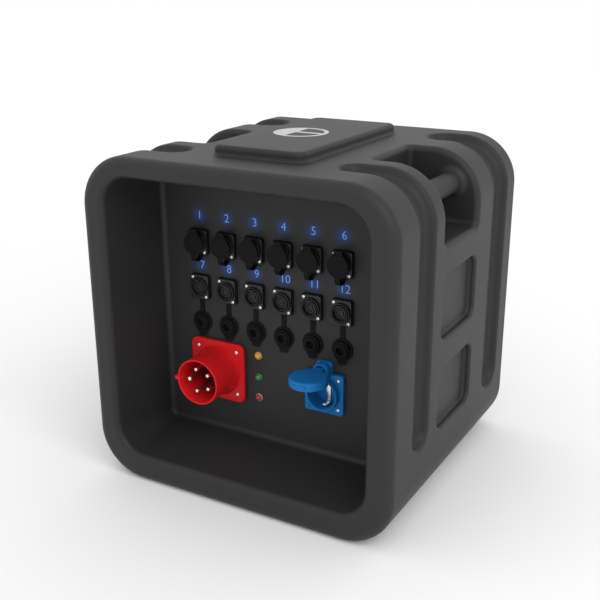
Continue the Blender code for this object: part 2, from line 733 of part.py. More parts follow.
def build_inlet():
    seat_out = GASKET_OUT + GAP
    face_out = seat_out + INLET_FLANGE_THICKNESS
    housing = plate("inlet_housing", INLET_FLANGE, INLET_FLANGE, INLET_FLANGE_CORNER,
                    PANEL_Y - face_out, PANEL_Y - seat_out, (INLET_X, INLET_Z), PARTS, INLET_RED)
    overlap = INLET_FLANGE_THICKNESS / 2
    profile = [
        (0.0, -INLET_REAR_LENGTH), (INLET_REAR_RADIUS, -INLET_REAR_LENGTH),
        (INLET_REAR_RADIUS, seat_out + overlap), (INLET_ROOT_RADIUS, seat_out + overlap),
        (INLET_ROOT_RADIUS, face_out + 0.003), (INLET_TUBE_RADIUS, face_out + 0.012),
        (INLET_TUBE_RADIUS, INLET_REACH), (INLET_TUBE_BORE, INLET_REACH),
        (INLET_TUBE_BORE, INLET_FLOOR), (0.0, INLET_FLOOR),
    ]
    tube = turned("inlet_tube", profile, (INLET_X, PANEL_Y, INLET_Z), steps=40)
    key_length = INLET_REACH - face_out
    key = block("inlet_key", (KEY_HEIGHT + 0.002, key_length, KEY_WIDTH),
                (INLET_X - INLET_TUBE_RADIUS - KEY_HEIGHT / 2 + 0.001,
                 PANEL_Y - face_out - key_length / 2 + 0.0005, INLET_Z))
    add(housing, tube)
    add(housing, key)
    used = [tube, key]
    for index, (x, z, radius) in enumerate(pin_places()):
        seat = rod(f"inlet_seat_{index + 1}", radius + GAP, (x, PANEL_Y - INLET_FLOOR - EPS, z),
                   (x, PANEL_Y - INLET_FLOOR + PIN_SEAT + GAP, z), sides=12)
        cut(housing, seat)
        used.append(seat)
        tip = 0.0008
        start = INLET_FLOOR - PIN_SEAT
        pin = [(0.0, start), (radius, start), (radius, PIN_REACH - tip), (radius - tip, PIN_REACH),
               (0.0, PIN_REACH)]
        turned(f"inlet_pin_{index + 1}", pin, (x, PANEL_Y, z), PARTS, PIN_METAL, steps=12)
    settle(housing, *used)
    seal = plate("inlet_gasket", INLET_FLANGE - 0.002, INLET_FLANGE - 0.002, INLET_FLANGE_CORNER,
                 PANEL_Y - GASKET_OUT, PANEL_Y - GAP, (INLET_X, INLET_Z), PARTS, CAP_RUBBER)
    bore = rod("inlet_seal_bore", INLET_REAR_RADIUS + RUN, (INLET_X, PANEL_Y - GASKET_OUT - EPS, INLET_Z),
               (INLET_X, PANEL_Y + EPS, INLET_Z), sides=32)
    cut(seal, bore)
    settle(seal, bore)


# ================================================================ lamps
def build_lamps():
    for colour, z in LAMP_LEVELS:
        dome = []
        for step in range(4):
            angle = math.radians(90.0 * step / 3)
            dome.append((LAMP_RADIUS * math.cos(angle), 0.0028 + (LAMP_REACH - 0.0028) * math.sin(angle)))
        profile = [(0.0, -LAMP_REAR), (LAMP_NECK, -LAMP_REAR), (LAMP_NECK, GAP), (LAMP_BEZEL, GAP),
                   (LAMP_BEZEL, 0.0018), (LAMP_RADIUS, 0.0024)]
        profile += dome[:-1] + [(0.0, LAMP_REACH)]
        turned(f"lamp_{colour}", profile, (LAMP_X, PANEL_Y, z), PARTS, LAMP_COLOURS[colour], steps=16)


# ================================================================ domestic socket
def build_socket():
    face_out = GAP + SOCKET_FLANGE_THICKNESS
    pivot_z = SOCKET_Z + LID_PIVOT_RISE
    pivot_y = PANEL_Y - LID_PIVOT_OUT
    housing = plate("socket_housing", SOCKET_FLANGE, SOCKET_FLANGE, SOCKET_FLANGE_CORNER,
                    PANEL_Y - face_out, PANEL_Y - GAP, (SOCKET_X, SOCKET_Z), PARTS, SOCKET_BLUE, steps=3)
    floor_out = COLLAR_REACH - SOCKET_WELL_DEPTH
    profile = [
        (0.0, -SOCKET_REAR_LENGTH), (SOCKET_REAR_RADIUS, -SOCKET_REAR_LENGTH),
        (SOCKET_REAR_RADIUS, face_out / 2), (COLLAR_RADIUS, face_out / 2),
        (COLLAR_RADIUS, COLLAR_REACH), (SOCKET_WELL, COLLAR_REACH), (SOCKET_WELL, floor_out),
        (0.0, floor_out),
    ]
    core = turned("socket_core", profile, (SOCKET_X, PANEL_Y, SOCKET_Z), steps=32)
    used = [core]
    hinge_width = KNUCKLE_WIDTH + 2 * (EAR_WIDTH + RUN)
    crown_low = SOCKET_Z + SOCKET_FLANGE / 2 - 0.004
    crown_high = pivot_z + EAR_HEIGHT + 0.0025
    crown = plate("socket_crown", hinge_width + 2 * CROWN_STEP, crown_high - crown_low, CROWN_CORNER,
                  PANEL_Y - face_out - CROWN_STEP, PANEL_Y - GAP - CROWN_STEP,
                  (SOCKET_X, (crown_high + crown_low) / 2), steps=4)
    add(housing, crown)
    used.append(crown)
    for side in (-1, 1):
        ear_x = SOCKET_X + side * (KNUCKLE_WIDTH / 2 + RUN + EAR_WIDTH / 2)
        ear_depth = LID_PIVOT_OUT + KNUCKLE_RADIUS - face_out + 0.001
        ear_low = SOCKET_Z + LID_RADIUS + 0.0004
        ear_high = pivot_z + EAR_HEIGHT
        ear = block(f"socket_ear_{side}", (EAR_WIDTH, ear_depth, ear_high - ear_low),
                    (ear_x, PANEL_Y - face_out - ear_depth / 2 + 0.001, (ear_high + ear_low) / 2))
        add(housing, ear)
        used.append(ear)
    middle = (SOCKET_WELL + SOCKET_REAR_RADIUS) / 2
    opening = rod("socket_opening", middle, (SOCKET_X, PANEL_Y - COLLAR_REACH - EPS, SOCKET_Z),
                  (SOCKET_X, PANEL_Y + EPS, SOCKET_Z), sides=32)
    cut(housing, opening)
    add(housing, core)
    used.append(opening)
    span = hinge_width / 2
    pin_bore = rod("socket_pin_bore", LID_PIN_RADIUS + GAP, (SOCKET_X - span - EPS, pivot_y, pivot_z),
                   (SOCKET_X + span + EPS, pivot_y, pivot_z), sides=12)
    cut(housing, pin_bore)
    used.append(pin_bore)
    for side in (-1, 1):
        x = SOCKET_X + side * CONTACT_SPACING / 2
        hole = rod(f"socket_contact_{side}", CONTACT_RADIUS, (x, PANEL_Y - floor_out - EPS, SOCKET_Z),
                   (x, PANEL_Y - floor_out + CONTACT_DEPTH, SOCKET_Z), sides=12)
        cut(housing, hole)
        used.append(hole)
    settle(housing, *used)
    rod("lid_pin", LID_PIN_RADIUS, (SOCKET_X - span, pivot_y, pivot_z), (SOCKET_X + span, pivot_y, pivot_z),
        PARTS, STEEL, sides=12)
    build_earth_clip(floor_out)
    build_lid(pivot_y, pivot_z)


def build_earth_clip(floor_out):
    """Bent strip across the well's floor, with a contact standing out at the top and bottom."""
    base_y = PANEL_Y - floor_out - GAP - CLIP_THICKNESS / 2
    reach = SOCKET_WELL - 0.0016
    clip = block("earth_clip", (CLIP_WIDTH, CLIP_THICKNESS, 2 * reach), (SOCKET_X, base_y, SOCKET_Z),
                 PARTS, STEEL)
    used = []
    for side in (-1, 1):
        blade = block(f"clip_blade_{side}", (CLIP_WIDTH, CLIP_RISE, CLIP_THICKNESS),
                      (SOCKET_X, base_y - CLIP_RISE / 2 + CLIP_THICKNESS / 2,
                       SOCKET_Z + side * (reach - CLIP_THICKNESS / 2 - 0.0002)))
        add(clip, blade)
        used.append(blade)
    settle(clip, *used)


def build_lid(pivot_y, pivot_z):
    """Round lid standing open; its object's origin is on the pivot."""
    lid = turned("socket_lid", [
        (0.0, LID_ABOVE_PIVOT - LID_FACE), (LID_RECESS, LID_ABOVE_PIVOT - LID_FACE),
        (LID_RECESS, LID_ABOVE_PIVOT - LID_THICKNESS), (LID_RADIUS, LID_ABOVE_PIVOT - LID_THICKNESS),
        (LID_RADIUS, LID_ABOVE_PIVOT - 0.0015), (LID_RADIUS - 0.0015, LID_ABOVE_PIVOT),
        (0.0, LID_ABOVE_PIVOT),
    ], (0.0, 0.0, 0.0), PARTS, SOCKET_BLUE, steps=36)
    lid.data.transform(Matrix.Translation((0.0, -LID_PIVOT_RISE, 0.0)) @ Matrix.Rotation(
        math.radians(-90.0), 4, "X"))
    arm_near = -LID_PIVOT_RISE + LID_RADIUS - 0.001
    arm_far = KNUCKLE_RADIUS * 0.35
    arm = block("lid_arm", (KNUCKLE_WIDTH - 0.0006, arm_far - arm_near, LID_FACE),
                (0.0, (arm_near + arm_far) / 2, LID_ABOVE_PIVOT - 0.0006 - LID_FACE / 2))
    knuckle = rod("lid_knuckle", KNUCKLE_RADIUS, (-KNUCKLE_WIDTH / 2, 0.0, 0.0),
                  (KNUCKLE_WIDTH / 2, 0.0, 0.0), sides=16)
    bore = rod("lid_bore", LID_PIN_RADIUS + GAP, (-KNUCKLE_WIDTH, 0.0, 0.0), (KNUCKLE_WIDTH, 0.0, 0.0),
               sides=12)
    add(lid, arm)
    add(lid, knuckle)
    cut(lid, bore)
    settle(lid, arm, knuckle, bore)
    lid.location = (SOCKET_X, pivot_y, pivot_z)


# ================================================================ inside
def build_inside():
    y = PANEL_BACK_Y + GAP
    for name, size, level, material in (
        ("terminal_block", TERMINAL_SIZE, TERMINAL_LEVEL, COVER_GREY),
        ("earth_bar", EARTH_BAR_SIZE, EARTH_BAR_LEVEL, PIN_METAL),
    ):
        block(name, size, (0.0, y + size[1] / 2, level), PARTS, material, bevel=0.001)


def main():
    build_case()
    build_rear_cover()
    build_outlets()
    build_inlet()
    build_lamps()
    build_socket()
    build_inside()


main()
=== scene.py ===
"""Looks of a portable power distribution box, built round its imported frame.

Metres, +Z up, +X to the right as the panel is faced; the panel faces -Y.
"""
import json
import logging
import math
from collections.abc import Callable, Iterable, Sequence
from dataclasses import dataclass
from enum import Enum

import bmesh
import bpy
import numpy as np
from mathutils import Matrix, Vector

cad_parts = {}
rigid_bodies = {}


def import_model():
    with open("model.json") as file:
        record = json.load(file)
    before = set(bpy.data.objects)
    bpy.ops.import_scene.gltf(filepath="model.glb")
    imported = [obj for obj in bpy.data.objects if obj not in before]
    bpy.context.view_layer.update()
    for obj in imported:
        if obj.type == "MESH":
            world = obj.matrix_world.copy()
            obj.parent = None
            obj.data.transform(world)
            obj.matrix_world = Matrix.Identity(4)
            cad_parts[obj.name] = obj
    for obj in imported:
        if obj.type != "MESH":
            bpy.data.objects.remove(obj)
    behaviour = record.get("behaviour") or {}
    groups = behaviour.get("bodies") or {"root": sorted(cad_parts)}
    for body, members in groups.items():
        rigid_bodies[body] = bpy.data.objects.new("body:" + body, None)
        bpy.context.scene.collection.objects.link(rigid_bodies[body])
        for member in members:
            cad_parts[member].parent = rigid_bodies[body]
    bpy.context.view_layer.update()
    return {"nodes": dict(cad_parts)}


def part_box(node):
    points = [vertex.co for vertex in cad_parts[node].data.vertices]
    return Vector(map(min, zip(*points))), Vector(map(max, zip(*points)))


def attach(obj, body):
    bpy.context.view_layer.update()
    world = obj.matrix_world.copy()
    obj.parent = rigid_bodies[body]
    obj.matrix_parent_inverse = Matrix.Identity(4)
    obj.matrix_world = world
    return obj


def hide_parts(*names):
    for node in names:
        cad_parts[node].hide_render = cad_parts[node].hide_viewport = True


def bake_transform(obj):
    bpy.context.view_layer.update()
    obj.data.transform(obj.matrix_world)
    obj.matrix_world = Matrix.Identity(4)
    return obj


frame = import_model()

Profile = list[tuple[float, float]]
Triple = tuple[float, float, float]

log = logging.getLogger("distribution_box")
BOX = "box"
RUN = 0.0003
PANEL_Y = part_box("cap_gasket_01")[1].y + RUN
CASE_LOW, CASE_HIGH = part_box("case_shell")


# ================================================================ shader groups
class Tree:
    """Short hand for laying nodes into one node tree."""

    def __init__(self, tree: bpy.types.NodeTree) -> None:
        """Keep the tree.

        Args:
            tree: the node tree to fill.
        """
        self.tree = tree

    def add(self, kind: str, inputs: dict[str, object] | None = None, **settings: object) -> bpy.types.Node:
        """Add a node, set its properties and its inputs.

        Args:
            kind: the node's type without "ShaderNode", or a full type name.
            inputs: values or sockets by input name or index.
            **settings: properties of the node.

        Returns:
            The node.
        """
        full = kind if kind.startswith("Node") else f"ShaderNode{kind}"
        node = self.tree.nodes.new(full)
        for key, value in settings.items():
            setattr(node, key, value)
        for key, value in (inputs or {}).items():
            socket = node.inputs[key]
            if isinstance(value, bpy.types.NodeSocket):
                self.tree.links.new(value, socket)
            else:
                socket.default_value = value
        return node

    def maths(self, operation: str, *values: object) -> bpy.types.NodeSocket:
        """Add a Math node.

        Args:
            operation: what it does.
            *values: its inputs in order, numbers or sockets.

        Returns:
            Its result.
        """
        node = self.add("Math", dict(enumerate(values)), operation=operation)
        return node.outputs[0]


def new_group(name: str, inputs: dict[str, float | Sequence[float]], outputs: dict[str, str]) -> tuple[
    Tree, bpy.types.Node, bpy.types.Node
]:
    """Start a shader node group with named sockets.

    Args:
        name: the group's name.
        inputs: default value of each input, a number or a colour.
        outputs: socket kind of each output, Float or Color.

    Returns:
        The tree with its input and output nodes.
    """
    group = bpy.data.node_groups.new(name, "ShaderNodeTree")
    for key, value in inputs.items():
        kind = "NodeSocketFloat" if isinstance(value, float) else "NodeSocketColor"
        group.interface.new_socket(key, in_out="INPUT", socket_type=kind).default_value = value
    for key, kind in outputs.items():
        group.interface.new_socket(key, in_out="OUTPUT", socket_type=f"NodeSocket{kind}")
    tree = Tree(group)
    return tree, tree.add("NodeGroupInput"), tree.add("NodeGroupOutput")


def close_group(tree: Tree, result: bpy.types.Node, **sockets: bpy.types.NodeSocket) -> bpy.types.NodeTree:
    """Link a group's results and give the group."""
    for key, socket in sockets.items():
        tree.tree.links.new(socket, result.inputs[key])
    return tree.tree


def mixed(tree: Tree, share: object, first: object, second: object, blend: str = "MIX") -> bpy.types.NodeSocket:
    """Add a colour mix.

    Args:
        tree: where it goes.
        share: how much of the second colour, a number or a socket.
        first: first colour.
        second: second colour.
        blend: the blend type.

    Returns:
        The mixed colour.
    """
    node = tree.add("Mix", {0: share, 6: first, 7: second}, data_type="RGBA", blend_type=blend)
    return node.outputs[2]


def grain_group() -> bpy.types.NodeTree:
    """Build the group for a moulded surface: fine pebble relief, tiny flecks and slow drift of tone.

    Returns:
        The group, with inputs Colour, Grain, Drift and Flecks and outputs Colour, Height and Worn.
    """
    tree, given, result = new_group(
        "moulded_grain",
        {"Colour": (0.1, 0.1, 0.1, 1.0), "Grain": 900.0, "Drift": 0.1, "Flecks": 0.1},
        {"Colour": "Color", "Height": "Float", "Worn": "Float"},
    )
    place = tree.add("TexCoord").outputs["Object"]
    pebble = tree.add("TexVoronoi", {"Vector": place, "Scale": given.outputs["Grain"], "Randomness": 1.0})
    fine = tree.add("TexNoise", {"Vector": place, "Scale": given.outputs["Grain"], "Detail": 3.0})
    slow = tree.add("TexNoise", {"Vector": place, "Scale": 9.0, "Detail": 4.0, "Roughness": 0.6})
    spots = tree.add("TexNoise", {"Vector": place, "Scale": 2200.0, "Detail": 1.0})
    height = tree.maths("ADD", tree.maths("MULTIPLY", pebble.outputs["Distance"], 0.6), fine.outputs["Fac"])
    tone = tree.maths("SUBTRACT", slow.outputs["Fac"], 0.5)
    shift = tree.maths("MULTIPLY", tone, given.outputs["Drift"])
    speck = tree.maths("MULTIPLY", tree.maths("SUBTRACT", spots.outputs["Fac"], 0.5), given.outputs["Flecks"])
    gain = tree.maths("ADD", 1.0, tree.maths("ADD", shift, speck))
    shade = tree.add("CombineColor", {0: gain, 1: gain, 2: gain}).outputs[0]
    colour = mixed(tree, 1.0, given.outputs["Colour"], shade, "MULTIPLY")
    return close_group(tree, result, Colour=colour, Height=height, Worn=slow.outputs["Fac"])


def brushed_group() -> bpy.types.NodeTree:
    """Build the group for plated metal: fine unevenness and small stains.

    Returns:
        The group, with inputs Colour, Stain and Roughness and outputs Colour, Height and Rough.
    """
    tree, given, result = new_group(
        "plated_metal",
        {"Colour": (0.7, 0.7, 0.7, 1.0), "Stain": 0.2, "Roughness": 0.25},
        {"Colour": "Color", "Height": "Float", "Rough": "Float"},
    )
    place = tree.add("TexCoord").outputs["Object"]
    streak = tree.add("TexNoise", {"Vector": place, "Scale": 1800.0, "Detail": 2.0})
    stain = tree.add("TexNoise", {"Vector": place, "Scale": 260.0, "Detail": 3.0})
    share = tree.maths("MULTIPLY", stain.outputs["Fac"], given.outputs["Stain"])
    colour = mixed(tree, share, given.outputs["Colour"], (0.25, 0.23, 0.2, 1.0))
    rough = tree.maths("ADD", given.outputs["Roughness"], tree.maths("MULTIPLY", share, 0.5))
    return close_group(tree, result, Colour=colour, Height=streak.outputs["Fac"], Rough=rough)


FIRST_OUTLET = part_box("outlet_01")
LAST_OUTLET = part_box("outlet_06")
LOWER_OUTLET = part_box("outlet_07")
FIRST_X = (FIRST_OUTLET[0].x + FIRST_OUTLET[1].x) / 2
OUTLET_PITCH = ((LAST_OUTLET[0].x + LAST_OUTLET[1].x) / 2 - FIRST_X) / 5
MARK_X = -0.012
MARK_RADIUS = 0.034
MARK_RIM = 0.0055
NUMBER_LEVELS = ((FIRST_OUTLET[0].z + FIRST_OUTLET[1].z) / 2 + 0.0326,
                 (LOWER_OUTLET[0].z + LOWER_OUTLET[1].z) / 2 + 0.0273)


def glow_group() -> bpy.types.NodeTree:
    """Build the group for the soft light that the lit numbers throw on the panel.

    Returns:
        The group, with input Reach and output Glow, from 0 to 1 round each number.
    """
    tree, given, result = new_group("number_glow", {"Reach": 0.008}, {"Glow": "Float"})
    place = tree.add("SeparateXYZ", {0: tree.add("TexCoord").outputs["Object"]})
    first_x, pitch = FIRST_X, OUTLET_PITCH
    across = tree.maths("DIVIDE", tree.maths("SUBTRACT", place.outputs[0], first_x), pitch)
    nearest = tree.maths("MINIMUM", tree.maths("MAXIMUM", tree.maths("ROUND", across), 0.0), 5.0)
    off_x = tree.maths("MULTIPLY", tree.maths("SUBTRACT", across, nearest), pitch)
    rows = [tree.maths("ABSOLUTE", tree.maths("SUBTRACT", place.outputs[2], z)) for z in NUMBER_LEVELS]
    off_z = tree.maths("MINIMUM", rows[0], rows[1])
    squared = tree.maths("ADD", tree.maths("MULTIPLY", off_x, off_x), tree.maths("MULTIPLY", off_z, off_z))
    reach = tree.maths("MULTIPLY", given.outputs["Reach"], given.outputs["Reach"])
    fade = tree.maths("EXPONENT", tree.maths("MULTIPLY", tree.maths("DIVIDE", squared, reach), -1.0))
    off_panel = tree.maths("ABSOLUTE", tree.maths("SUBTRACT", place.outputs[1], PANEL_Y))
    on_panel = tree.maths("LESS_THAN", off_panel, 0.002)
    return close_group(tree, result, Glow=tree.maths("MULTIPLY", fade, on_panel))


def mark_group() -> bpy.types.NodeTree:
    """Build the group for the plain round mark printed on the platform.

    Returns:
        The group, with output Mark, 1 where the print is.
    """
    tree, _, result = new_group("platform_mark", {}, {"Mark": "Float"})
    place = tree.add("SeparateXYZ", {0: tree.add("TexCoord").outputs["Object"]})
    x = tree.maths("SUBTRACT", place.outputs[0], MARK_X)
    y = place.outputs[1]
    squares = tree.maths("ADD", tree.maths("MULTIPLY", x, x), tree.maths("MULTIPLY", y, y))
    away = tree.maths("SQRT", squares)
    disc = tree.maths("LESS_THAN", away, MARK_RADIUS)
    ring = tree.maths("GREATER_THAN", away, MARK_RADIUS - MARK_RIM)
    left = tree.maths("LESS_THAN", x, -0.006)
    bar_shape = tree.maths("LESS_THAN", tree.maths("ABSOLUTE", y), 0.0035)
    shape = tree.maths("MAXIMUM", tree.maths("MAXIMUM", ring, left), bar_shape)
    on_top = tree.maths("GREATER_THAN", place.outputs[2], CASE_HIGH.z - 0.001)
    return close_group(tree, result, Mark=tree.maths("MULTIPLY", tree.maths("MULTIPLY", disc, shape), on_top))


_groups: dict[str, bpy.types.NodeTree] = {}


def shared_group(build: Callable[[], bpy.types.NodeTree]) -> bpy.types.NodeTree:
    """Give a shader group, building it the first time."""
    if build.__name__ not in _groups:
        _groups[build.__name__] = build()
    return _groups[build.__name__]


# ================================================================ finishes
@dataclass(frozen=True)
class Plastic:
    """A moulded plastic or rubber finish."""

    name: str
    colour: Triple
    roughness: float
    slot: str
    grain: float = 900.0
    relief: float = 0.00004
    drift: float = 0.10
    flecks: float = 0.05
    coat: float = 0.0
    specular: float = 0.5
    lit_numbers: bool = False
    glow: float = 0.0

    def material(self) -> bpy.types.Material:
        """Build the node material.

        Returns:
            The material.
        """
        made = bpy.data.materials.new(self.name)
        made.use_nodes = True
        tree = Tree(made.node_tree)
        shader = made.node_tree.nodes["Principled BSDF"]
        shader.inputs["Roughness"].default_value = self.roughness
        shader.inputs["Coat Weight"].default_value = self.coat
        shader.inputs["Coat Roughness"].default_value = 0.2
        shader.inputs["Specular IOR Level"].default_value = self.specular
        grain = tree.add("Group", node_tree=shared_group(grain_group))
        for key, value in (("Colour", (*self.colour, 1.0)), ("Grain", self.grain),
                           ("Drift", self.drift), ("Flecks", self.flecks)):
            grain.inputs[key].default_value = value
        colour = grain.outputs["Colour"]
        if self.lit_numbers:
            glow = tree.add("Group", node_tree=shared_group(glow_group)).outputs["Glow"]
            share = tree.maths("MULTIPLY", glow, 0.6)
            colour = mixed(tree, share, colour, (0.010, 0.030, 0.10, 1.0))
            mark = tree.add("Group", node_tree=shared_group(mark_group)).outputs["Mark"]
            colour = mixed(tree, mark, colour, (0.50, 0.50, 0.51, 1.0))
            made.node_tree.links.new(mixed(tree, glow, (0.0, 0.0, 0.0, 1.0), (0.02, 0.075, 0.34, 1.0)),
                                     shader.inputs["Emission Color"])
            shader.inputs["Emission Strength"].default_value = 0.22
        elif self.glow:
            shader.inputs["Emission Color"].default_value = (*self.colour, 1.0)
            shader.inputs["Emission Strength"].default_value = self.glow
        rough = tree.add("MapRange", {"Value": grain.outputs["Worn"], 3: self.roughness - 0.04,
                                      4: self.roughness + 0.05})
        bump = tree.add("Bump", {"Height": grain.outputs["Height"], "Strength": 1.0, "Distance": self.relief})
        for socket, target in ((colour, "Base Color"), (rough.outputs[0], "Roughness"),
                               (bump.outputs[0], "Normal")):
            made.node_tree.links.new(socket, shader.inputs[target])
        return made


@dataclass(frozen=True)
class Metal:
    """A plated metal finish."""

    name: str
    colour: Triple
    roughness: float
    slot: str
    stain: float = 0.15

    def material(self) -> bpy.types.Material:
        """Build the node material.

        Returns:
            The material.
        """
        made = bpy.data.materials.new(self.name)
        made.use_nodes = True
        tree = Tree(made.node_tree)
        shader = made.node_tree.nodes["Principled BSDF"]
        shader.inputs["Metallic"].default_value = 1.0
        plated = tree.add("Group", node_tree=shared_group(brushed_group))
        for key, value in (("Colour", (*self.colour, 1.0)), ("Stain", self.stain),
                           ("Roughness", self.roughness)):
            plated.inputs[key].default_value = value
        bump = tree.add("Bump", {"Height": plated.outputs["Height"], "Strength": 0.6, "Distance": 0.00002})
        for socket, target in ((plated.outputs["Colour"], "Base Color"), (plated.outputs["Rough"], "Roughness"),
                               (bump.outputs[0], "Normal")):
            made.node_tree.links.new(socket, shader.inputs[target])
        return made


class Look(Enum):
    """Every finish on the box."""

    CASE = Plastic("case_polyethylene", (0.0225, 0.0225, 0.0228), 0.50, "case", grain=1100.0,
                   relief=0.00005, drift=0.10, flecks=0.12, specular=0.26, lit_numbers=True)
    COVER = Plastic("cover_plastic", (0.010, 0.010, 0.0105), 0.5, "cover", relief=0.00006)
    FLANGE = Plastic("flange_polyamide", (0.0095, 0.0095, 0.0097), 0.34, "connector_black", specular=0.40)
    CORE = Plastic("core_polyamide", (0.013, 0.013, 0.0135), 0.38, "connector_black", specular=0.35)
    RUBBER = Plastic("cap_rubber", (0.0062, 0.0062, 0.0064), 0.60, "cap_rubber", grain=1500.0,
                     specular=0.10)
    RED = Plastic("inlet_polyamide", (0.60, 0.011, 0.015), 0.36, "inlet_red", relief=0.00002, drift=0.05,
                  specular=0.16)
    # red of the pin carrier, darkened to paint the shade deep in the tube: painted shade on a red part
    DEEP_RED = Plastic("inlet_carrier", (0.10, 0.004, 0.006), 0.45, "inlet_red", relief=0.00002,
                       specular=0.10)
    BLUE = Plastic("socket_polyamide", (0.010, 0.150, 0.42), 0.36, "socket_blue", relief=0.00002,
                   drift=0.05, specular=0.12)
    PIN = Metal("nickel_pin", (0.80, 0.79, 0.76), 0.22, "plated_brass")
    STEEL = Metal("zinc_steel", (0.80, 0.80, 0.82), 0.28, "zinc_steel")
    AMBER = Plastic("lens_amber", (0.62, 0.34, 0.060), 0.2, "lamp_amber", coat=0.3, relief=0.00001)
    GREEN = Plastic("lens_green", (0.028, 0.19, 0.068), 0.2, "lamp_green", coat=0.3, relief=0.00001)
    CRIMSON = Plastic("lens_red", (0.36, 0.016, 0.024), 0.2, "lamp_red", coat=0.3, relief=0.00001)
    BEZEL = Plastic("pale_bezel", (0.38, 0.30, 0.30), 0.35, "lamp_red", relief=0.00001)
    DIGIT = Plastic("lit_number", (0.10, 0.22, 0.62), 0.5, "connector_black", relief=0.00001, glow=0.45)


_materials: dict[Look, bpy.types.Material] = {}


def material_of(look: Look) -> bpy.types.Material:
    """Give a finish's material, building it the first time."""
    if look not in _materials:
        _materials[look] = look.value.material()
    return _materials[look]


# ================================================================ mesh hands
def softened(profile: Profile, radius: float, steps: int = 3) -> Profile:
    """Round the inner corners of an open profile.

    Args:
        profile: points of a polyline.
        radius: the largest rounding; short legs get less.
        steps: segments per corner.

    Returns:
        The rounded profile.
    """
    result = [profile[0]]
    for before, here, after in zip(profile, profile[1:], profile[2:]):
        corner = Vector(here)
        back = Vector(before) - corner
        ahead = Vector(after) - corner
        reach = min(radius, back.length * 0.45, ahead.length * 0.45)
        start = corner + back.normalized() * reach
        end = corner + ahead.normalized() * reach
        for step in range(steps + 1):
            share = step / steps
            point = start.lerp(corner, share).lerp(corner.lerp(end, share), share)
            result.append((point.x, point.y))
    result.append(profile[-1])
    return result


def turned(profile: Profile, steps: int = 48) -> bmesh.types.BMesh:
    """Spin a profile of (radius, distance out) about the line that runs out along -Y.

    Args:
        profile: points from the axis or a rim back to the axis or the same rim.
        steps: segments round.

    Returns:
        A closed mesh about the origin.
    """
    bm = bmesh.new()
    ring = [bm.verts.new((radius, -out, 0.0)) for radius, out in profile]
    edges = [bm.edges.new(pair) for pair in zip(ring, ring[1:])]
    if profile[0][0] > 1e-6:
        edges.append(bm.edges.new((ring[-1], ring[0])))
    bmesh.ops.spin(bm, geom=ring + edges, cent=(0, 0, 0), axis=(0, 1, 0), angle=math.tau, steps=steps,
                   use_merge=True)
    bmesh.ops.remove_doubles(bm, verts=bm.verts, dist=1e-6)
    bmesh.ops.recalc_face_normals(bm, faces=bm.faces)
    return bm


def rounded(bm: bmesh.types.BMesh, edges: Iterable[bmesh.types.BMEdge], radius: float, segments: int) -> None:
    """Round edges of a mesh."""
    bmesh.ops.bevel(bm, geom=list(edges), offset=radius, segments=segments, profile=0.5,
                    affect="EDGES", material=-1)


def front_edges(bm: bmesh.types.BMesh, depth: float) -> list[bmesh.types.BMEdge]:
    """Edges that lie wholly in the front plane, a depth out along -Y."""
    return [e for e in bm.edges if all(v.co.y < -depth + 1e-6 for v in e.verts)]


def slab(width: float, height: float, thickness: float, corner: float, edge: float,
         segments: int = 3) -> bmesh.types.BMesh:
    """Make a plate that faces -Y, its back on y = 0, with rounded corners and a rounded front edge.

    Args:
        width: size along X.
        height: size along Z.
        thickness: size along Y.
        corner: radius of the four corners.
        edge: radius of the front edge.
        segments: segments of each rounding.

    Returns:
        A closed mesh about the origin.
    """
    bm = bmesh.new()
    bmesh.ops.create_cube(bm, size=1.0)
    bmesh.ops.scale(bm, vec=(width, thickness, height), verts=bm.verts)
    bmesh.ops.translate(bm, vec=(0, -thickness / 2, 0), verts=bm.verts)
    upright = [e for e in bm.edges if abs(e.verts[0].co.y - e.verts[1].co.y) > thickness / 2]
    rounded(bm, upright, corner, segments + 3)
    rounded(bm, front_edges(bm, thickness), edge, segments)
    return bm


def pierced(plate: bmesh.types.BMesh, radius: float, steps: int = 64) -> bmesh.types.BMesh:
    """Open a round hole through the middle of a plate that faces -Y.

    Args:
        plate: the plate, with one flat face in front and one behind.
        radius: of the hole.
        steps: segments round.

    Returns:
        The same mesh, closed, with the hole.
    """
    wide = sorted(plate.faces, key=lambda f: f.calc_area())[-2:]
    rings = []
    for face in wide:
        rim = list(face.edges)
        depth = face.calc_center_median().y
        plate.faces.remove(face)
        knots = [plate.verts.new((radius * math.cos(math.tau * i / steps), depth,
                                  radius * math.sin(math.tau * i / steps))) for i in range(steps)]
        ring = [plate.edges.new((knots[i - 1], knots[i])) for i in range(steps)]
        bmesh.ops.bridge_loops(plate, edges=rim + ring)
        rings += ring
    bmesh.ops.bridge_loops(plate, edges=rings)
    bmesh.ops.recalc_face_normals(plate, faces=plate.faces)
    return plate


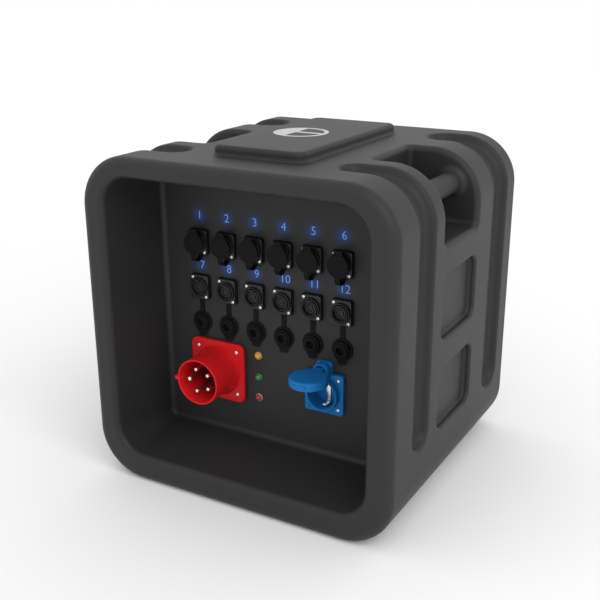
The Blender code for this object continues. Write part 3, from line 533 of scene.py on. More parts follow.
def arch(half: tuple[float, float], rise: tuple[float, float], foot: float, depth: float,
         edge: float) -> bmesh.types.BMesh:
    """Make an upturned U that faces -Y, its back on y = 0.

    Args:
        half: outer and inner half widths.
        rise: outer and inner heights of the crown.
        foot: height of both feet.
        depth: size along Y.
        edge: radius of the front edge.

    Returns:
        A closed mesh.
    """
    outline = []
    for side, top, order in ((half[0], rise[0], range(9)), (half[1], rise[1], range(8, -1, -1))):
        curve = min(side * 0.72, top - foot - 0.001)
        arc = [(math.radians(180 - 11.25 * step), -1) for step in range(9)]
        arc += [(math.radians(90 - 11.25 * step), 1) for step in range(9)]
        leg = [(-side, foot)]
        leg += [(way * (side - curve) + curve * math.cos(a), top - curve + curve * math.sin(a))
                for a, way in arc]
        leg.append((side, foot))
        outline += leg if order.step > 0 else leg[::-1]
    bm = bmesh.new()
    face = bm.faces.new([bm.verts.new((x, 0.0, z)) for x, z in outline])
    grown = bmesh.ops.extrude_face_region(bm, geom=[face])
    raised = [v for v in grown["geom"] if isinstance(v, bmesh.types.BMVert)]
    bmesh.ops.translate(bm, vec=(0, -depth, 0), verts=raised)
    bmesh.ops.remove_doubles(bm, verts=bm.verts, dist=1e-6)
    rounded(bm, front_edges(bm, depth), edge, 3)
    bmesh.ops.recalc_face_normals(bm, faces=bm.faces)
    return bm


def bar(size: Triple, centre: Triple, edge: float = 0.0, segments: int = 2) -> bmesh.types.BMesh:
    """Make a block with rounded edges.

    Args:
        size: its three sizes.
        centre: its middle.
        edge: radius of every edge.
        segments: segments of the rounding.

    Returns:
        A closed mesh.
    """
    bm = bmesh.new()
    bmesh.ops.create_cube(bm, size=1.0)
    bmesh.ops.scale(bm, vec=size, verts=bm.verts)
    if edge:
        rounded(bm, bm.edges, edge, segments)
    bmesh.ops.translate(bm, vec=centre, verts=bm.verts)
    return bm


def joined(*meshes: bmesh.types.BMesh) -> bmesh.types.BMesh:
    """Put several meshes into the first one and free the others.

    Args:
        *meshes: the meshes.

    Returns:
        The first mesh, with all.
    """
    whole = meshes[0]
    for other in meshes[1:]:
        loose = bpy.data.meshes.new("loose")
        other.to_mesh(loose)
        other.free()
        whole.from_mesh(loose)
        bpy.data.meshes.remove(loose)
    return whole


def moved(bm: bmesh.types.BMesh, offset: Sequence[float] = (0, 0, 0),
          turn: Matrix | None = None) -> bmesh.types.BMesh:
    """Turn a mesh about the origin, then shift it.

    Args:
        bm: the mesh.
        offset: the shift.
        turn: the rotation.

    Returns:
        The same mesh.
    """
    if turn is not None:
        bmesh.ops.transform(bm, matrix=turn, verts=bm.verts)
    bmesh.ops.translate(bm, vec=offset, verts=bm.verts)
    return bm


def about_x(degrees: float) -> Matrix:
    """Give a rotation about X."""
    return Matrix.Rotation(math.radians(degrees), 4, "X")


def pointed(piece: bpy.types.Object, place: Triple, ahead: Vector) -> None:
    """Put a camera or a light at a place, looking along a direction."""
    bpy.context.scene.collection.objects.link(piece)
    turn = ahead.to_track_quat("-Z", "Y").to_matrix().to_4x4()
    piece.matrix_world = Matrix.Translation(place) @ turn


def screw_head(radius: float, height: float) -> bmesh.types.BMesh:
    """Make a domed screw head with a six-lobed recess, its back on y = 0.

    Args:
        radius: of the head.
        height: of the dome.

    Returns:
        A closed mesh.
    """
    well = radius * 0.42
    dome = [(radius * math.cos(a), height * (0.25 + 0.75 * math.sin(a)))
            for a in (math.radians(d) for d in (0, 22, 45, 62))]
    profile = [(0.0, 0.0), (radius * 0.97, 0.0)] + dome + [(well, height * 0.98), (well, height * 0.35),
                                                          (0.0, height * 0.35)]
    bm = turned(profile, 36)
    for vert in bm.verts:
        reach = math.hypot(vert.co.x, vert.co.z)
        if abs(reach - well) < 1e-5:
            lobes = 1.0 + 0.16 * math.cos(6 * math.atan2(vert.co.z, vert.co.x))
            vert.co.x *= lobes
            vert.co.z *= lobes
    return bm


def publish(bm: bmesh.types.BMesh, name: str, look: Look, body: str = BOX, replaces: Iterable[str] = (),
            at: Sequence[float] = (0, 0, 0), sharp: float = 38.0, rides: bool = True) -> bpy.types.Object:
    """Turn a mesh into a finished piece that rides on a body.

    Args:
        bm: the mesh, which is freed.
        name: the piece's name.
        look: its finish.
        body: the body it rides on.
        replaces: the CAD nodes it stands for.
        at: where the mesh's origin goes.
        sharp: the angle in degrees from which an edge is sharp.
        rides: False to leave the piece on no body.

    Returns:
        The piece.
    """
    bmesh.ops.translate(bm, vec=at, verts=bm.verts)
    mesh = bpy.data.meshes.new(name)
    bm.to_mesh(mesh)
    bm.free()
    mesh.shade_smooth()
    mesh.set_sharp_from_angle(angle=math.radians(sharp))
    mesh.materials.append(material_of(look))
    piece = bpy.data.objects.new(name, mesh)
    bpy.context.scene.collection.objects.link(piece)
    if rides:
        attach(piece, body)
    if replaces:
        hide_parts(*replaces)
    log.info("%s: %d faces on %s", name, len(mesh.polygons), body)
    return piece


# ================================================================ forms of the case
Grid = np.ndarray


def node_centre(node: str) -> Vector:
    """Middle of a CAD node, moved onto the panel face."""
    low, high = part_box(node)
    return Vector(((low.x + high.x) / 2, PANEL_Y, (low.z + high.z) / 2))


SOCKET_CENTRE = node_centre("earth_clip")


def meet_round(first: Grid, second: Grid, radius: float) -> Grid:
    """Distance to where two forms overlap, with the edge between them rounded off."""
    corner = np.hypot(np.maximum(radius + first, 0), np.maximum(radius + second, 0))
    return np.minimum(-radius, np.maximum(first, second)) + corner


def join_round(first: Grid, second: Grid, radius: float) -> Grid:
    """Distance to two forms together, with a fillet between them."""
    return -meet_round(-first, -second, radius)


def cut_round(first: Grid, second: Grid, radius: float) -> Grid:
    """Distance to the first form less the second, with the edge between them rounded off."""
    return meet_round(first, -second, radius)


def rounded_rectangle(across: Grid, up: Grid, half_width: Grid | float, half_height: Grid | float,
                      corner: Grid | float) -> Grid:
    """Distance to a rounded rectangle about the origin."""
    side = np.abs(across) - (half_width - corner)
    rise = np.abs(up) - (half_height - corner)
    outside = np.hypot(np.maximum(side, 0), np.maximum(rise, 0))
    return np.minimum(np.maximum(side, rise), 0) + outside - corner


@dataclass
class Groove:
    """A channel up the side and over onto the top."""

    centre_y: float
    width: float
    low_z: float
    inner_x: float
    depth: float


@dataclass
class Case:
    """The moulded case, skinned over one smooth form."""

    width: float = CASE_HIGH.x - CASE_LOW.x
    depth: float = CASE_HIGH.y - CASE_LOW.y
    height: float = 0.409
    corner: float = 0.062
    edge: float = 0.013
    bay_half_width: float = 0.1712
    bay_half_height: float = 0.17585
    bay_centre_z: float = 0.21035
    bay_draft: float = 0.0118
    bay_lip: float = 0.0075
    bay_crease: float = 0.006
    platform_half: tuple[float, float] = (0.0598, 0.1248)
    platform_top: float = CASE_HIGH.z
    pocket_levels: tuple[float, float] = (0.1345, 0.2470)
    pocket_half: tuple[float, float] = (0.052, 0.0385)
    pocket_depth: float = 0.0085
    side_middle_y: float = -0.0075
    grip_inner_x: float = 0.112
    grip_floor_z: float = 0.321
    grip_half: float = 0.0515
    bar_place: tuple[float, float] = (0.168, 0.370)
    bar_radius: float = 0.013
    cover_half: tuple[float, float] = (0.150, 0.155)
    cover_recess: float = 0.008
    socket_hole: float = 0.0204
    socket_hole_depth: float = 0.034
    grooves: tuple[Groove, ...] = (
        Groove(-0.111, 0.040, 0.097, 0.101, 0.0105),
        Groove(0.123, 0.049, 0.083, 0.106, 0.0105),
    )
    pitch: float = 0.0024
    faces_kept: int = 190000

    def along(self, side: Grid, z: Grid) -> Grid:
        """Distance along the outline from the floor up the side, round the corner and inward.

        Args:
            side: distance of each point from the middle plane.
            z: height of each point.

        Returns:
            The distance along.
        """
        turn_x = self.width / 2 - self.corner
        turn_z = self.height - self.corner
        off_x = side - turn_x
        off_z = z - turn_z
        angle = np.arctan2(np.maximum(off_z, 1e-9), np.maximum(off_x, 1e-9))
        over = turn_z + self.corner * angle
        top = turn_z + self.corner * math.pi / 2 - off_x
        return np.where(off_z <= 0, z, np.where(off_x <= 0, top, over))

    def distance(self, points: Grid) -> Grid:
        """Signed distance from points to the case's surface, below zero inside.

        Args:
            points: an array of places.

        Returns:
            One distance per place.
        """
        x, y, z = points[:, 0], points[:, 1], points[:, 2]
        side = np.abs(x)
        half_depth = self.depth / 2
        outline = rounded_rectangle(x, z - self.height / 2, self.width / 2, self.height / 2, self.corner)
        form = meet_round(outline, np.abs(y) - half_depth, self.edge)
        plan = rounded_rectangle(x, y, *self.platform_half, 0.013)
        top = meet_round(plan, z - self.platform_top, 0.005)
        form = join_round(form, np.maximum(top, self.height - 0.03 - z), 0.0035)
        form = self.without_grooves(form, outline, side, y, z)
        form = self.without_pockets(form, side, y, z)
        form = self.with_grips(form, side, y, z)
        share = np.clip((y + half_depth) / (PANEL_Y + half_depth), -0.3, 1.1)
        lean = self.bay_draft * share
        bay = rounded_rectangle(x, z - self.bay_centre_z, self.bay_half_width - lean,
                                self.bay_half_height - lean, 0.038 - 0.029 * np.clip(share, 0, 1))
        form = cut_round(form, meet_round(bay, y - PANEL_Y, self.bay_crease), self.bay_lip)
        hole = np.hypot(x - SOCKET_CENTRE.x, z - SOCKET_CENTRE.z) - self.socket_hole
        form = np.maximum(form, -np.maximum(hole, np.abs(y - PANEL_Y) - self.socket_hole_depth))
        seat = rounded_rectangle(x, z - self.height / 2, *self.cover_half, 0.022)
        return cut_round(form, meet_round(seat, half_depth - self.cover_recess - y, 0.001), 0.002)

    def without_grooves(self, form: Grid, outline: Grid, side: Grid, y: Grid, z: Grid) -> Grid:
        """Cut the channels that run up the sides and onto the top.

        Args:
            form: distance to the form so far.
            outline: distance to the case's outline.
            side: distance from the middle plane.
            y: depth of each point.
            z: height of each point.

        Returns:
            The distance with the channels cut.
        """
        along = self.along(side, z)
        turn = self.height - self.corner + self.corner * math.pi / 2
        for groove in self.grooves:
            end = turn + self.width / 2 - self.corner - groove.inner_x
            middle = (groove.low_z + end) / 2
            plan = rounded_rectangle(along - middle, y - groove.centre_y, (end - groove.low_z) / 2,
                                     groove.width / 2, groove.width / 2 * 0.94)
            channel = meet_round(plan, -outline - groove.depth, groove.depth * 0.92)
            form = cut_round(form, channel, 0.005)
        return form

    def without_pockets(self, form: Grid, side: Grid, y: Grid, z: Grid) -> Grid:
        """Cut the two shallow pockets in each side."""
        for level in self.pocket_levels:
            plan = rounded_rectangle(y - self.side_middle_y, z - level, *self.pocket_half, 0.014)
            pocket = meet_round(plan, self.width / 2 - side - self.pocket_depth, 0.004)
            form = cut_round(form, pocket, 0.004)
        return form

    def with_grips(self, form: Grid, side: Grid, y: Grid, z: Grid) -> Grid:
        """Cut the handle recesses and put the bars across them."""
        off_y = np.abs(y - self.side_middle_y) - self.grip_half
        room = meet_round(self.grip_inner_x - side, self.grip_floor_z - z, 0.024)
        form = cut_round(form, meet_round(room, off_y, 0.007), 0.007)
        rod = np.hypot(side - self.bar_place[0], z - self.bar_place[1]) - self.bar_radius
        return join_round(form, np.maximum(rod, off_y - 0.012), 0.008)

    def slope(self, points: Grid) -> Grid:
        """Unit direction in which the distance grows at each place."""
        step = 0.0003
        columns = []
        for axis in range(3):
            shift = np.zeros(3, np.float32)
            shift[axis] = step
            columns.append(self.distance(points + shift) - self.distance(points - shift))
        direction = np.stack(columns, 1)
        return direction / np.maximum(np.linalg.norm(direction, axis=1, keepdims=True), 1e-9)

    def settle(self, points: Grid, rounds: int) -> Grid:
        """Move points onto the surface."""
        for _ in range(rounds):
            points = points - self.distance(points)[:, None] * self.slope(points) * 0.9
        return points

    def skin(self) -> bpy.types.Mesh:
        """Net the form's surface, thin the net where it is flat and lay it on the form again.

        Returns:
            The mesh.
        """
        pitch = self.pitch * 1.0
        points, faces = net(self.distance, CASE_LOW, CASE_HIGH, pitch)
        points = self.settle(points, 2)
        mesh = bpy.data.meshes.new("case_skin")
        mesh.from_pydata(points.tolist(), [], faces.tolist())
        holder = bpy.data.objects.new("case_skin", mesh)
        bpy.context.scene.collection.objects.link(holder)
        thin = holder.modifiers.new("thin", "DECIMATE")
        thin.ratio = min(1.0, self.faces_kept / (2.0 * len(faces)))
        graph = bpy.context.evaluated_depsgraph_get()
        thinned = bpy.data.meshes.new_from_object(holder.evaluated_get(graph))
        bpy.data.objects.remove(holder)
        bpy.data.meshes.remove(mesh)
        places = np.zeros(len(thinned.vertices) * 3, np.float32)
        thinned.vertices.foreach_get("co", places)
        places = self.settle(places.reshape(-1, 3), 2)
        thinned.vertices.foreach_set("co", places.astype(np.float32).ravel())
        thinned.update()
        thinned.shade_smooth()
        thinned.normals_split_custom_set_from_vertices(self.slope(places).tolist())
        return thinned

    def build(self) -> None:
        """Make the case piece."""
        mesh = self.skin()
        mesh.name = "case_body"
        mesh.materials.append(material_of(Look.CASE))
        piece = bpy.data.objects.new("case_body", mesh)
        bpy.context.scene.collection.objects.link(piece)
        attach(piece, BOX)
        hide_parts("case_shell")
        log.info("case_body: %d faces", len(mesh.polygons))


def net(distance: Callable[[Grid], Grid], low: Vector, high: Vector, pitch: float) -> tuple[Grid, Grid]:
    """Stretch a net of four-sided faces over the surface where a distance is zero.

    Args:
        distance: signed distance of an array of places.
        low: lowest corner of the room to search.
        high: highest corner.
        pitch: spacing of the net.

    Returns:
        The places of the net's knots, and four knots per face.
    """
    axes = [np.arange(a - 2 * pitch, b + 3 * pitch, pitch, dtype=np.float32) for a, b in zip(low, high)]
    shape = tuple(len(axis) for axis in axes)
    values = np.empty(shape, np.float32)
    for index, x in enumerate(axes[0]):
        plane = np.stack(np.meshgrid([x], axes[1], axes[2], indexing="ij"), -1).reshape(-1, 3)
        values[index] = distance(plane).reshape(shape[1:])
    inside = values < 0
    cells = tuple(n - 1 for n in shape)
    count = sum(inside[i:i + cells[0], j:j + cells[1], k:k + cells[2]].astype(np.int8)
                for i in (0, 1) for j in (0, 1) for k in (0, 1))
    active = (count > 0) & (count < 8)
    number = np.full(cells, -1, np.int64)
    number[active] = np.arange(int(active.sum()))
    base = np.argwhere(active)
    total = np.zeros((len(base), 3), np.float64)
    hits = np.zeros(len(base))
    for axis in range(3):
        others = [a for a in range(3) if a != axis]
        for first in (0, 1):
            for second in (0, 1):
                start = base.copy()
                start[:, others[0]] += first
                start[:, others[1]] += second
                end = start.copy()
                end[:, axis] += 1
                value_a = values[tuple(start.T)]
                value_b = values[tuple(end.T)]
                crosses = (value_a < 0) != (value_b < 0)
                share = np.where(crosses, value_a / np.where(crosses, value_a - value_b, 1.0), 0.0)
                place = start.astype(np.float64)
                place[:, axis] += share
                total += place * crosses[:, None]
                hits += crosses
    origin = np.array([axis[0] for axis in axes])
    points = origin + pitch * total / hits[:, None]
    faces = []
    for axis in range(3):
        forward = [slice(None)] * 3
        forward[axis] = slice(0, cells[axis])
        ahead = [slice(None)] * 3
        ahead[axis] = slice(1, None)
        solid, next_solid = inside[tuple(forward)], inside[tuple(ahead)]
        for out_first in (True, False):
            cross = np.argwhere((solid & ~next_solid) if out_first else (~solid & next_solid))
            u, v = [(1, 2), (2, 0), (0, 1)][axis]
            corners = []
            for du, dv in ((0, 0), (-1, 0), (-1, -1), (0, -1)):
                cell = cross.copy()
                cell[:, u] += du
                cell[:, v] += dv
                corners.append(number[tuple(cell.T)])
            quad = np.stack(corners, 1)
            faces.append(quad if out_first else quad[:, ::-1])
    return points.astype(np.float32), np.concatenate(faces)


# ================================================================ outlets
class Row(Enum):
    """The two rows of outlets."""

    SHUT = 0
    HANGING = 1


@dataclass
class Outlet:
    """One outlet with its gasket, its screws, its cap and the cap's strap."""

    number: int
    centre: Vector
    row: Row
    flange: tuple[float, float] = (0.026, 0.031)
    gasket_out: float = 0.0018
    flange_out: float = 0.0057
    barrel_out: float = 0.0102
    cap_out: float = 0.0161
    hinge_out: float = 0.0082
    hinge_drop: float = 0.0232
    strap_width: float = 0.0065
    strap_thickness: float = 0.0014
    tab_thickness: float = 0.0017

    def at(self, x: float = 0.0, out: float = 0.0, z: float = 0.0) -> Vector:
        """Place relative to the outlet's centre on the panel face."""
        return self.centre + Vector((x, -out, z))

    def build(self) -> None:
        """Make every piece of the outlet."""
        tag = f"{self.number:02d}"
        self.build_shell(tag)
        self.build_core(tag)
        self.build_gasket(tag)
        self.build_screws(tag)
        self.build_cap(tag)
        self.build_strap(tag)

    def build_shell(self, tag: str) -> None:
        """Make the flange with its boss and barrel."""
        plate = slab(*self.flange, self.flange_out - self.gasket_out - RUN, 0.003, 0.0007)
        moved(plate, (0, -self.gasket_out - 0.0003, 0))
        face = self.flange_out
        rim = self.barrel_out
        profile = softened([
            (0.0106, -0.020), (0.0106, face - 0.002), (0.0126, face - 0.002), (0.0125, rim - 0.0014),
            (0.0121, rim - 0.0008), (0.0112, rim - 0.0008), (0.0110, face + 0.0002), (0.0101, face + 0.0002),
            (0.0100, rim), (0.0090, rim), (0.0088, rim - 0.0076), (0.0066, rim - 0.0078), (0.0064, -0.019),
        ], 0.0003)
        publish(joined(plate, turned(profile, 56)), f"outlet_{tag}_shell", Look.FLANGE,
                replaces=[f"outlet_{tag}"], at=self.centre)

    def build_core(self, tag: str) -> None:
        """Make the contact carrier in the barrel, with its ring of slots and centre post."""
        face = self.barrel_out - 0.0030
        profile = softened([
            (0.0, -0.018), (0.0063, -0.018), (0.0066, face - 0.0005), (0.0061, face), (0.0050, face),
            (0.0048, face - 0.0024), (0.0034, face - 0.0024), (0.0032, face - 0.0002), (0.0016, face),
            (0.0014, face - 0.001), (0.0, face - 0.001),
        ], 0.00025)
        core = turned(profile, 48)
        ribs = []
        for angle in (30, 100, 160, 225, 300):
            rib = bar((0.0020, 0.0020, 0.0011), (0.0041, -face + 0.0012, 0.0), 0.0002)
            ribs.append(moved(rib, turn=Matrix.Rotation(math.radians(angle), 4, "Y")))
        keys = []
        for angle in (90, 205, 335):
            key = bar((0.0014, 0.0036, 0.0022), (0.0090, -self.barrel_out + 0.0045, 0.0), 0.0003)
            keys.append(moved(key, turn=Matrix.Rotation(math.radians(angle), 4, "Y")))
        publish(joined(core, *ribs, *keys), f"outlet_{tag}_core", Look.CORE, at=self.centre)

    def build_gasket(self, tag: str) -> None:
        """Make the sealing plate under the flange."""
        plate = slab(self.flange[0] + 0.0012, self.flange[1] + 0.0012, self.gasket_out - 0.0003, 0.0034,
                     0.0004, 2)
        publish(moved(plate, (0, -0.0003, 0)), f"outlet_{tag}_gasket", Look.RUBBER,
                replaces=[f"cap_gasket_{tag}"], at=self.centre)

    def build_screws(self, tag: str) -> None:
        """Make the two flange screws."""
        heads = []
        for side in (-1, 1):
            head = screw_head(0.0023, 0.0013)
            heads.append(moved(head, (side * 0.0095, -self.flange_out + 0.0001, -side * 0.012)))
        publish(joined(*heads), f"outlet_{tag}_screws", Look.STEEL, at=self.centre)

    def build_cap(self, tag: str) -> None:
        """Make the cap: a disc with a pull tab, a shoulder and a hollow nose that plugs the barrel."""
        seat = self.barrel_out + 0.0003
        front = self.cap_out
        profile = softened([
            (0.0, seat + 0.0038), (0.0045, seat + 0.0036), (0.0049, seat - 0.0022), (0.0062, seat - 0.0024),
            (0.0086, seat - 0.0018), (0.0088, seat), (0.0108, seat), (0.0109, front - 0.0018),
            (0.0134, front - 0.0017), (0.0138, front - 0.0010), (0.0136, front - 0.0002), (0.0122, front),
            (0.0112, front - 0.0002), (0.0, front - 0.0002),
        ], 0.00045)
        cap = turned(profile, 56)
        tab = moved(self.tab(), (0, -(front - 0.0022), 0))
        joined(cap, tab)
        if self.row is Row.HANGING:
            moved(cap, (0, self.hinge_out, self.hinge_drop))
            moved(cap, (0, -self.hinge_out, -self.hinge_drop), about_x(180))
        publish(cap, f"cap_{tag}_body", Look.RUBBER, f"cap_{tag}", [f"cap_{tag}"], at=self.centre)

    def tab(self) -> bmesh.types.BMesh:
        """Make the pull tab, which runs off the disc on a soft taper, its back on y = 0.

        Returns:
            A closed mesh.
        """
        reach, end_half, root_half = 0.0189, 0.0032, 0.0098
        outline = [(-root_half, 0.0085)]
        for step in range(9):
            share = step / 8
            ease = share * share * (3 - 2 * share)
            outline.append((-(root_half + (0.0055 - root_half) * ease), 0.0088 + 0.0070 * share))
        for step in range(7):
            angle = math.radians(180 - 15 * step)
            outline.append((-0.0055 + end_half * (1 + math.cos(angle)) * 0.75,
                            reach - end_half + end_half * math.sin(angle)))
        outline += [(-x, z) for x, z in reversed(outline)]
        bm = bmesh.new()
        face = bm.faces.new([bm.verts.new((x, 0.0, z)) for x, z in outline])
        bmesh.ops.remove_doubles(bm, verts=bm.verts, dist=1e-5)
        face = bm.faces[:][0]
        grown = bmesh.ops.extrude_face_region(bm, geom=[face])
        raised = [v for v in grown["geom"] if isinstance(v, bmesh.types.BMVert)]
        bmesh.ops.translate(bm, vec=(0, -self.tab_thickness, 0), verts=raised)
        rounded(bm, front_edges(bm, self.tab_thickness), 0.0005, 2)
        bmesh.ops.recalc_face_normals(bm, faces=bm.faces)
        return bm

    def strap_line(self) -> list[tuple[float, float]]:
        """Give the strap's middle line as (distance out, height from the outlet's centre)."""
        if self.row is Row.HANGING:
            return [(0.0011, -0.0145 - 0.0195 * step / 24) for step in range(25)]
        line = [(0.0011, -0.0140), (0.0011, -0.0152)]
        reach = (self.cap_out - 0.0011 - 0.0011) / 2
        for step in range(17):
            angle = math.pi * step / 16
            line.append((0.0011 + reach * (1 - math.cos(angle)), -0.0158 - 0.0062 * math.sin(angle)))
        line += [(self.cap_out - 0.0011, -0.0140), (self.cap_out - 0.0011, -0.0112)]
        return line

    def build_strap(self, tag: str) -> None:
        """Make the flexible strap in one piece, from under the flange to the cap."""
        line = self.strap_line()
        bm = bmesh.new()
        bmesh.ops.create_grid(bm, x_segments=3, y_segments=len(line) - 1, size=0.5)
        rows = sorted(bm.verts, key=lambda v: (round(v.co.y, 5), v.co.x))
        per_row = len(rows) // len(line)
        for index, vert in enumerate(rows):
            out, z = line[index // per_row]
            vert.co = Vector((vert.co.x * self.strap_width, -out, z))
        bmesh.ops.recalc_face_normals(bm, faces=bm.faces)
        bmesh.ops.solidify(bm, geom=bm.faces[:], thickness=self.strap_thickness)
        bmesh.ops.recalc_face_normals(bm, faces=bm.faces)
        strap = publish(bm, f"cap_{tag}_strap", Look.RUBBER, at=self.centre, rides=False)
        fixed, loose = self.at(0, 0.0020, -0.0200), self.at(0, 0.0145, -0.0200)
        if self.row is Row.SHUT:
            tuple(fixed)
            tuple(loose)
            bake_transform(strap)
        else:
            fixed, loose = self.at(0, 0.0010, -0.0170), self.at(0, 0.0010, -0.0325)
            tuple(loose)
            tuple(fixed)
            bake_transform(strap)


@dataclass
class Numbers:
    """The lit numbers on the panel."""

    size: float = 0.0146
    shifts: tuple[float, float] = (0.0006, 0.0022)
    thickness: float = 0.00012

    def build(self) -> None:
        """Make one piece per number."""
        for index in range(12):
            row, column = divmod(index, 6)
            x = FIRST_X + column * OUTLET_PITCH + self.shifts[row]
            self.build_number(index + 1, Vector((x, PANEL_Y, NUMBER_LEVELS[row])))

    def build_number(self, number: int, centre: Vector) -> None:
        """Make one number a thin raised mesh on the panel.

        Args:
            number: what it says.
            centre: its middle on the panel.
        """
        curve = bpy.data.curves.new("digits", "FONT")
        curve.body = str(number)
        curve.size = self.size
        curve.extrude = self.thickness
        curve.offset = -0.00016
        curve.align_x = "CENTER"
        curve.align_y = "CENTER"
        curve.resolution_u = 5
        holder = bpy.data.objects.new("digits", curve)
        bpy.context.scene.collection.objects.link(holder)
        graph = bpy.context.evaluated_depsgraph_get()
        mesh = bpy.data.meshes.new_from_object(holder.evaluated_get(graph))
        bpy.data.objects.remove(holder)
        bm = bmesh.new()
        bm.from_mesh(mesh)
        bpy.data.meshes.remove(mesh)
        bmesh.ops.remove_doubles(bm, verts=bm.verts, dist=1e-6)
        moved(bm, (0, -self.thickness - 0.00002, 0), about_x(90))
        publish(bm, f"number_{number:02d}", Look.DIGIT, at=centre)


# ================================================================ mains inlet
@dataclass
class Inlet:
    """The red mains inlet with its pins."""

    centre: Vector
    flange: float = 0.078
    seat_out: float = 0.0021
    flange_out: float = 0.0066
    reach: float = 0.052
    tube_radius: float = 0.0295
    bore: float = 0.0272
    pin_circle: float = 0.0151
    first_pin: float = 37.0
    screw_inset: float = 0.0107

    def build(self) -> None:
        """Make every piece of the inlet."""
        self.build_housing()
        self.build_floor()
        for index in range(5):
            self.build_pin(index)
        self.build_gasket()
        heads = []
        for side_x in (-1, 1):
            for side_z in (-1, 1):
                place = self.flange / 2 - self.screw_inset
                head = screw_head(0.0027, 0.0012)
                heads.append(moved(head, (side_x * place, -self.flange_out + 0.0003, side_z * place)))
        publish(joined(*heads), "inlet_screws", Look.STEEL, at=self.centre)

    def build_housing(self) -> None:
        """Make the flange and the tube."""
        thickness = self.flange_out - self.seat_out
        plate = moved(slab(self.flange, self.flange, thickness, 0.009, 0.0012, 4), (0, -self.seat_out, 0))
        face, reach = self.flange_out, self.reach
        profile = softened([
            (0.0298, -0.034), (0.0298, face - 0.002), (0.0338, face - 0.0008), (0.0326, face + 0.0014),
            (0.0308, face + 0.0060), (self.tube_radius, face + 0.0160), (self.tube_radius, reach),
            (self.bore, reach), (self.bore - 0.0004, 0.006), (self.bore - 0.0004, -0.032),
        ], 0.0009, 4)
        tube = turned(profile, 96)
        key = bar((0.0062, reach - face, 0.0052), (-self.tube_radius - 0.0012, -(face + reach) / 2, 0), 0.0009)
        inner = bar((0.0022, 0.030, 0.0044), (-self.bore + 0.0004, -(reach - 0.016), 0), 0.0006)
        publish(joined(plate, tube, key, inner), "inlet_shell", Look.RED, replaces=["inlet_housing"],
                at=self.centre)

    def build_floor(self) -> None:
        """Make the pin carrier at the bottom of the tube, its red darkened as painted shade."""
        floor = 0.009
        profile = softened([
            (0.0, -0.030), (0.0266, -0.030), (0.0268, floor - 0.0008), (0.0245, floor), (0.0235, floor - 0.001),
            (0.0095, floor - 0.001), (0.0085, floor), (0.0, floor),
        ], 0.0005)
        carrier = turned(profile, 72)
        collars = []
        for x, z, radius in self.pins():
            ring = softened([(radius + 0.0022, floor - 0.002), (radius + 0.0020, floor + 0.0030),
                             (radius + 0.0002, floor + 0.0030), (radius + 0.0002, floor - 0.002)], 0.0004)
            collars.append(moved(turned(ring, 32), (x, 0, z)))
        # the carrier's darkened red is painted shade for the bottom of the tube
        publish(joined(carrier, *collars), "inlet_carrier", Look.DEEP_RED, at=self.centre)

    def pins(self) -> list[Triple]:
        """Place and radius of each pin, the earth pin by the key."""
        places = []
        for index in range(5):
            angle = math.radians(self.first_pin + 72.0 * index)
            radius = 0.003 if index == 2 else 0.0025
            places.append((self.pin_circle * math.cos(angle), self.pin_circle * math.sin(angle), radius))
        return places

    def build_pin(self, index: int) -> None:
        """Make one pin with a domed tip."""
        x, z, radius = self.pins()[index]
        tip = 0.048
        dome = [(radius * math.cos(a), tip - radius * 0.5 * (1 - math.sin(a)))
                for a in (math.radians(d) for d in (0, 25, 50, 72))]
        profile = [(0.0, -0.003), (radius, -0.003), (radius, tip - 0.010), (radius * 0.99, tip - 0.0097)]
        bm = turned(profile + dome + [(0.0, tip)], 32)
        publish(bm, f"inlet_pin_{index + 1}_body", Look.PIN, replaces=[f"inlet_pin_{index + 1}"],
                at=self.centre + Vector((x, 0, z)))

    def build_gasket(self) -> None:
        """Make the sealing plate behind the flange."""
        side = self.flange - 0.0016
        plate = moved(slab(side, side, 0.0015, 0.009, 0.0004, 2), (0, -0.0003, 0))
        publish(plate, "inlet_seal", Look.RUBBER, replaces=["inlet_gasket"], at=self.centre)


# ================================================================ lamps
@dataclass
class Lamp:
    """A signal lamp: a bezel and a domed lens."""

    name: str
    centre: Vector
    look: Look
    lens: float = 0.0039
    bezel: float = 0.0051
    reach: float = 0.0055

    def build(self) -> None:
        """Make the bezel and the lens."""
        ring = softened([
            (self.bezel, 0.0003), (self.bezel, 0.0016), (self.bezel - 0.0007, 0.0024),
            (self.lens + 0.0001, 0.0024), (self.lens + 0.0001, 0.0003),
        ], 0.0003)
        rim = Look.BEZEL if self.look is Look.CRIMSON else self.look
        publish(turned(ring, 40), f"{self.name}_bezel", rim, at=self.centre)
        dome = [(self.lens * math.cos(a), 0.0026 + (self.reach - 0.0026) * math.sin(a))
                for a in (math.radians(d) for d in (0, 18, 36, 54, 72, 84))]
        profile = [(0.0, -0.010), (self.lens, -0.010), (self.lens, 0.0018)]
        publish(turned(profile + dome + [(0.0, self.reach)], 40), f"{self.name}_lens", self.look,
                replaces=[self.name], at=self.centre)


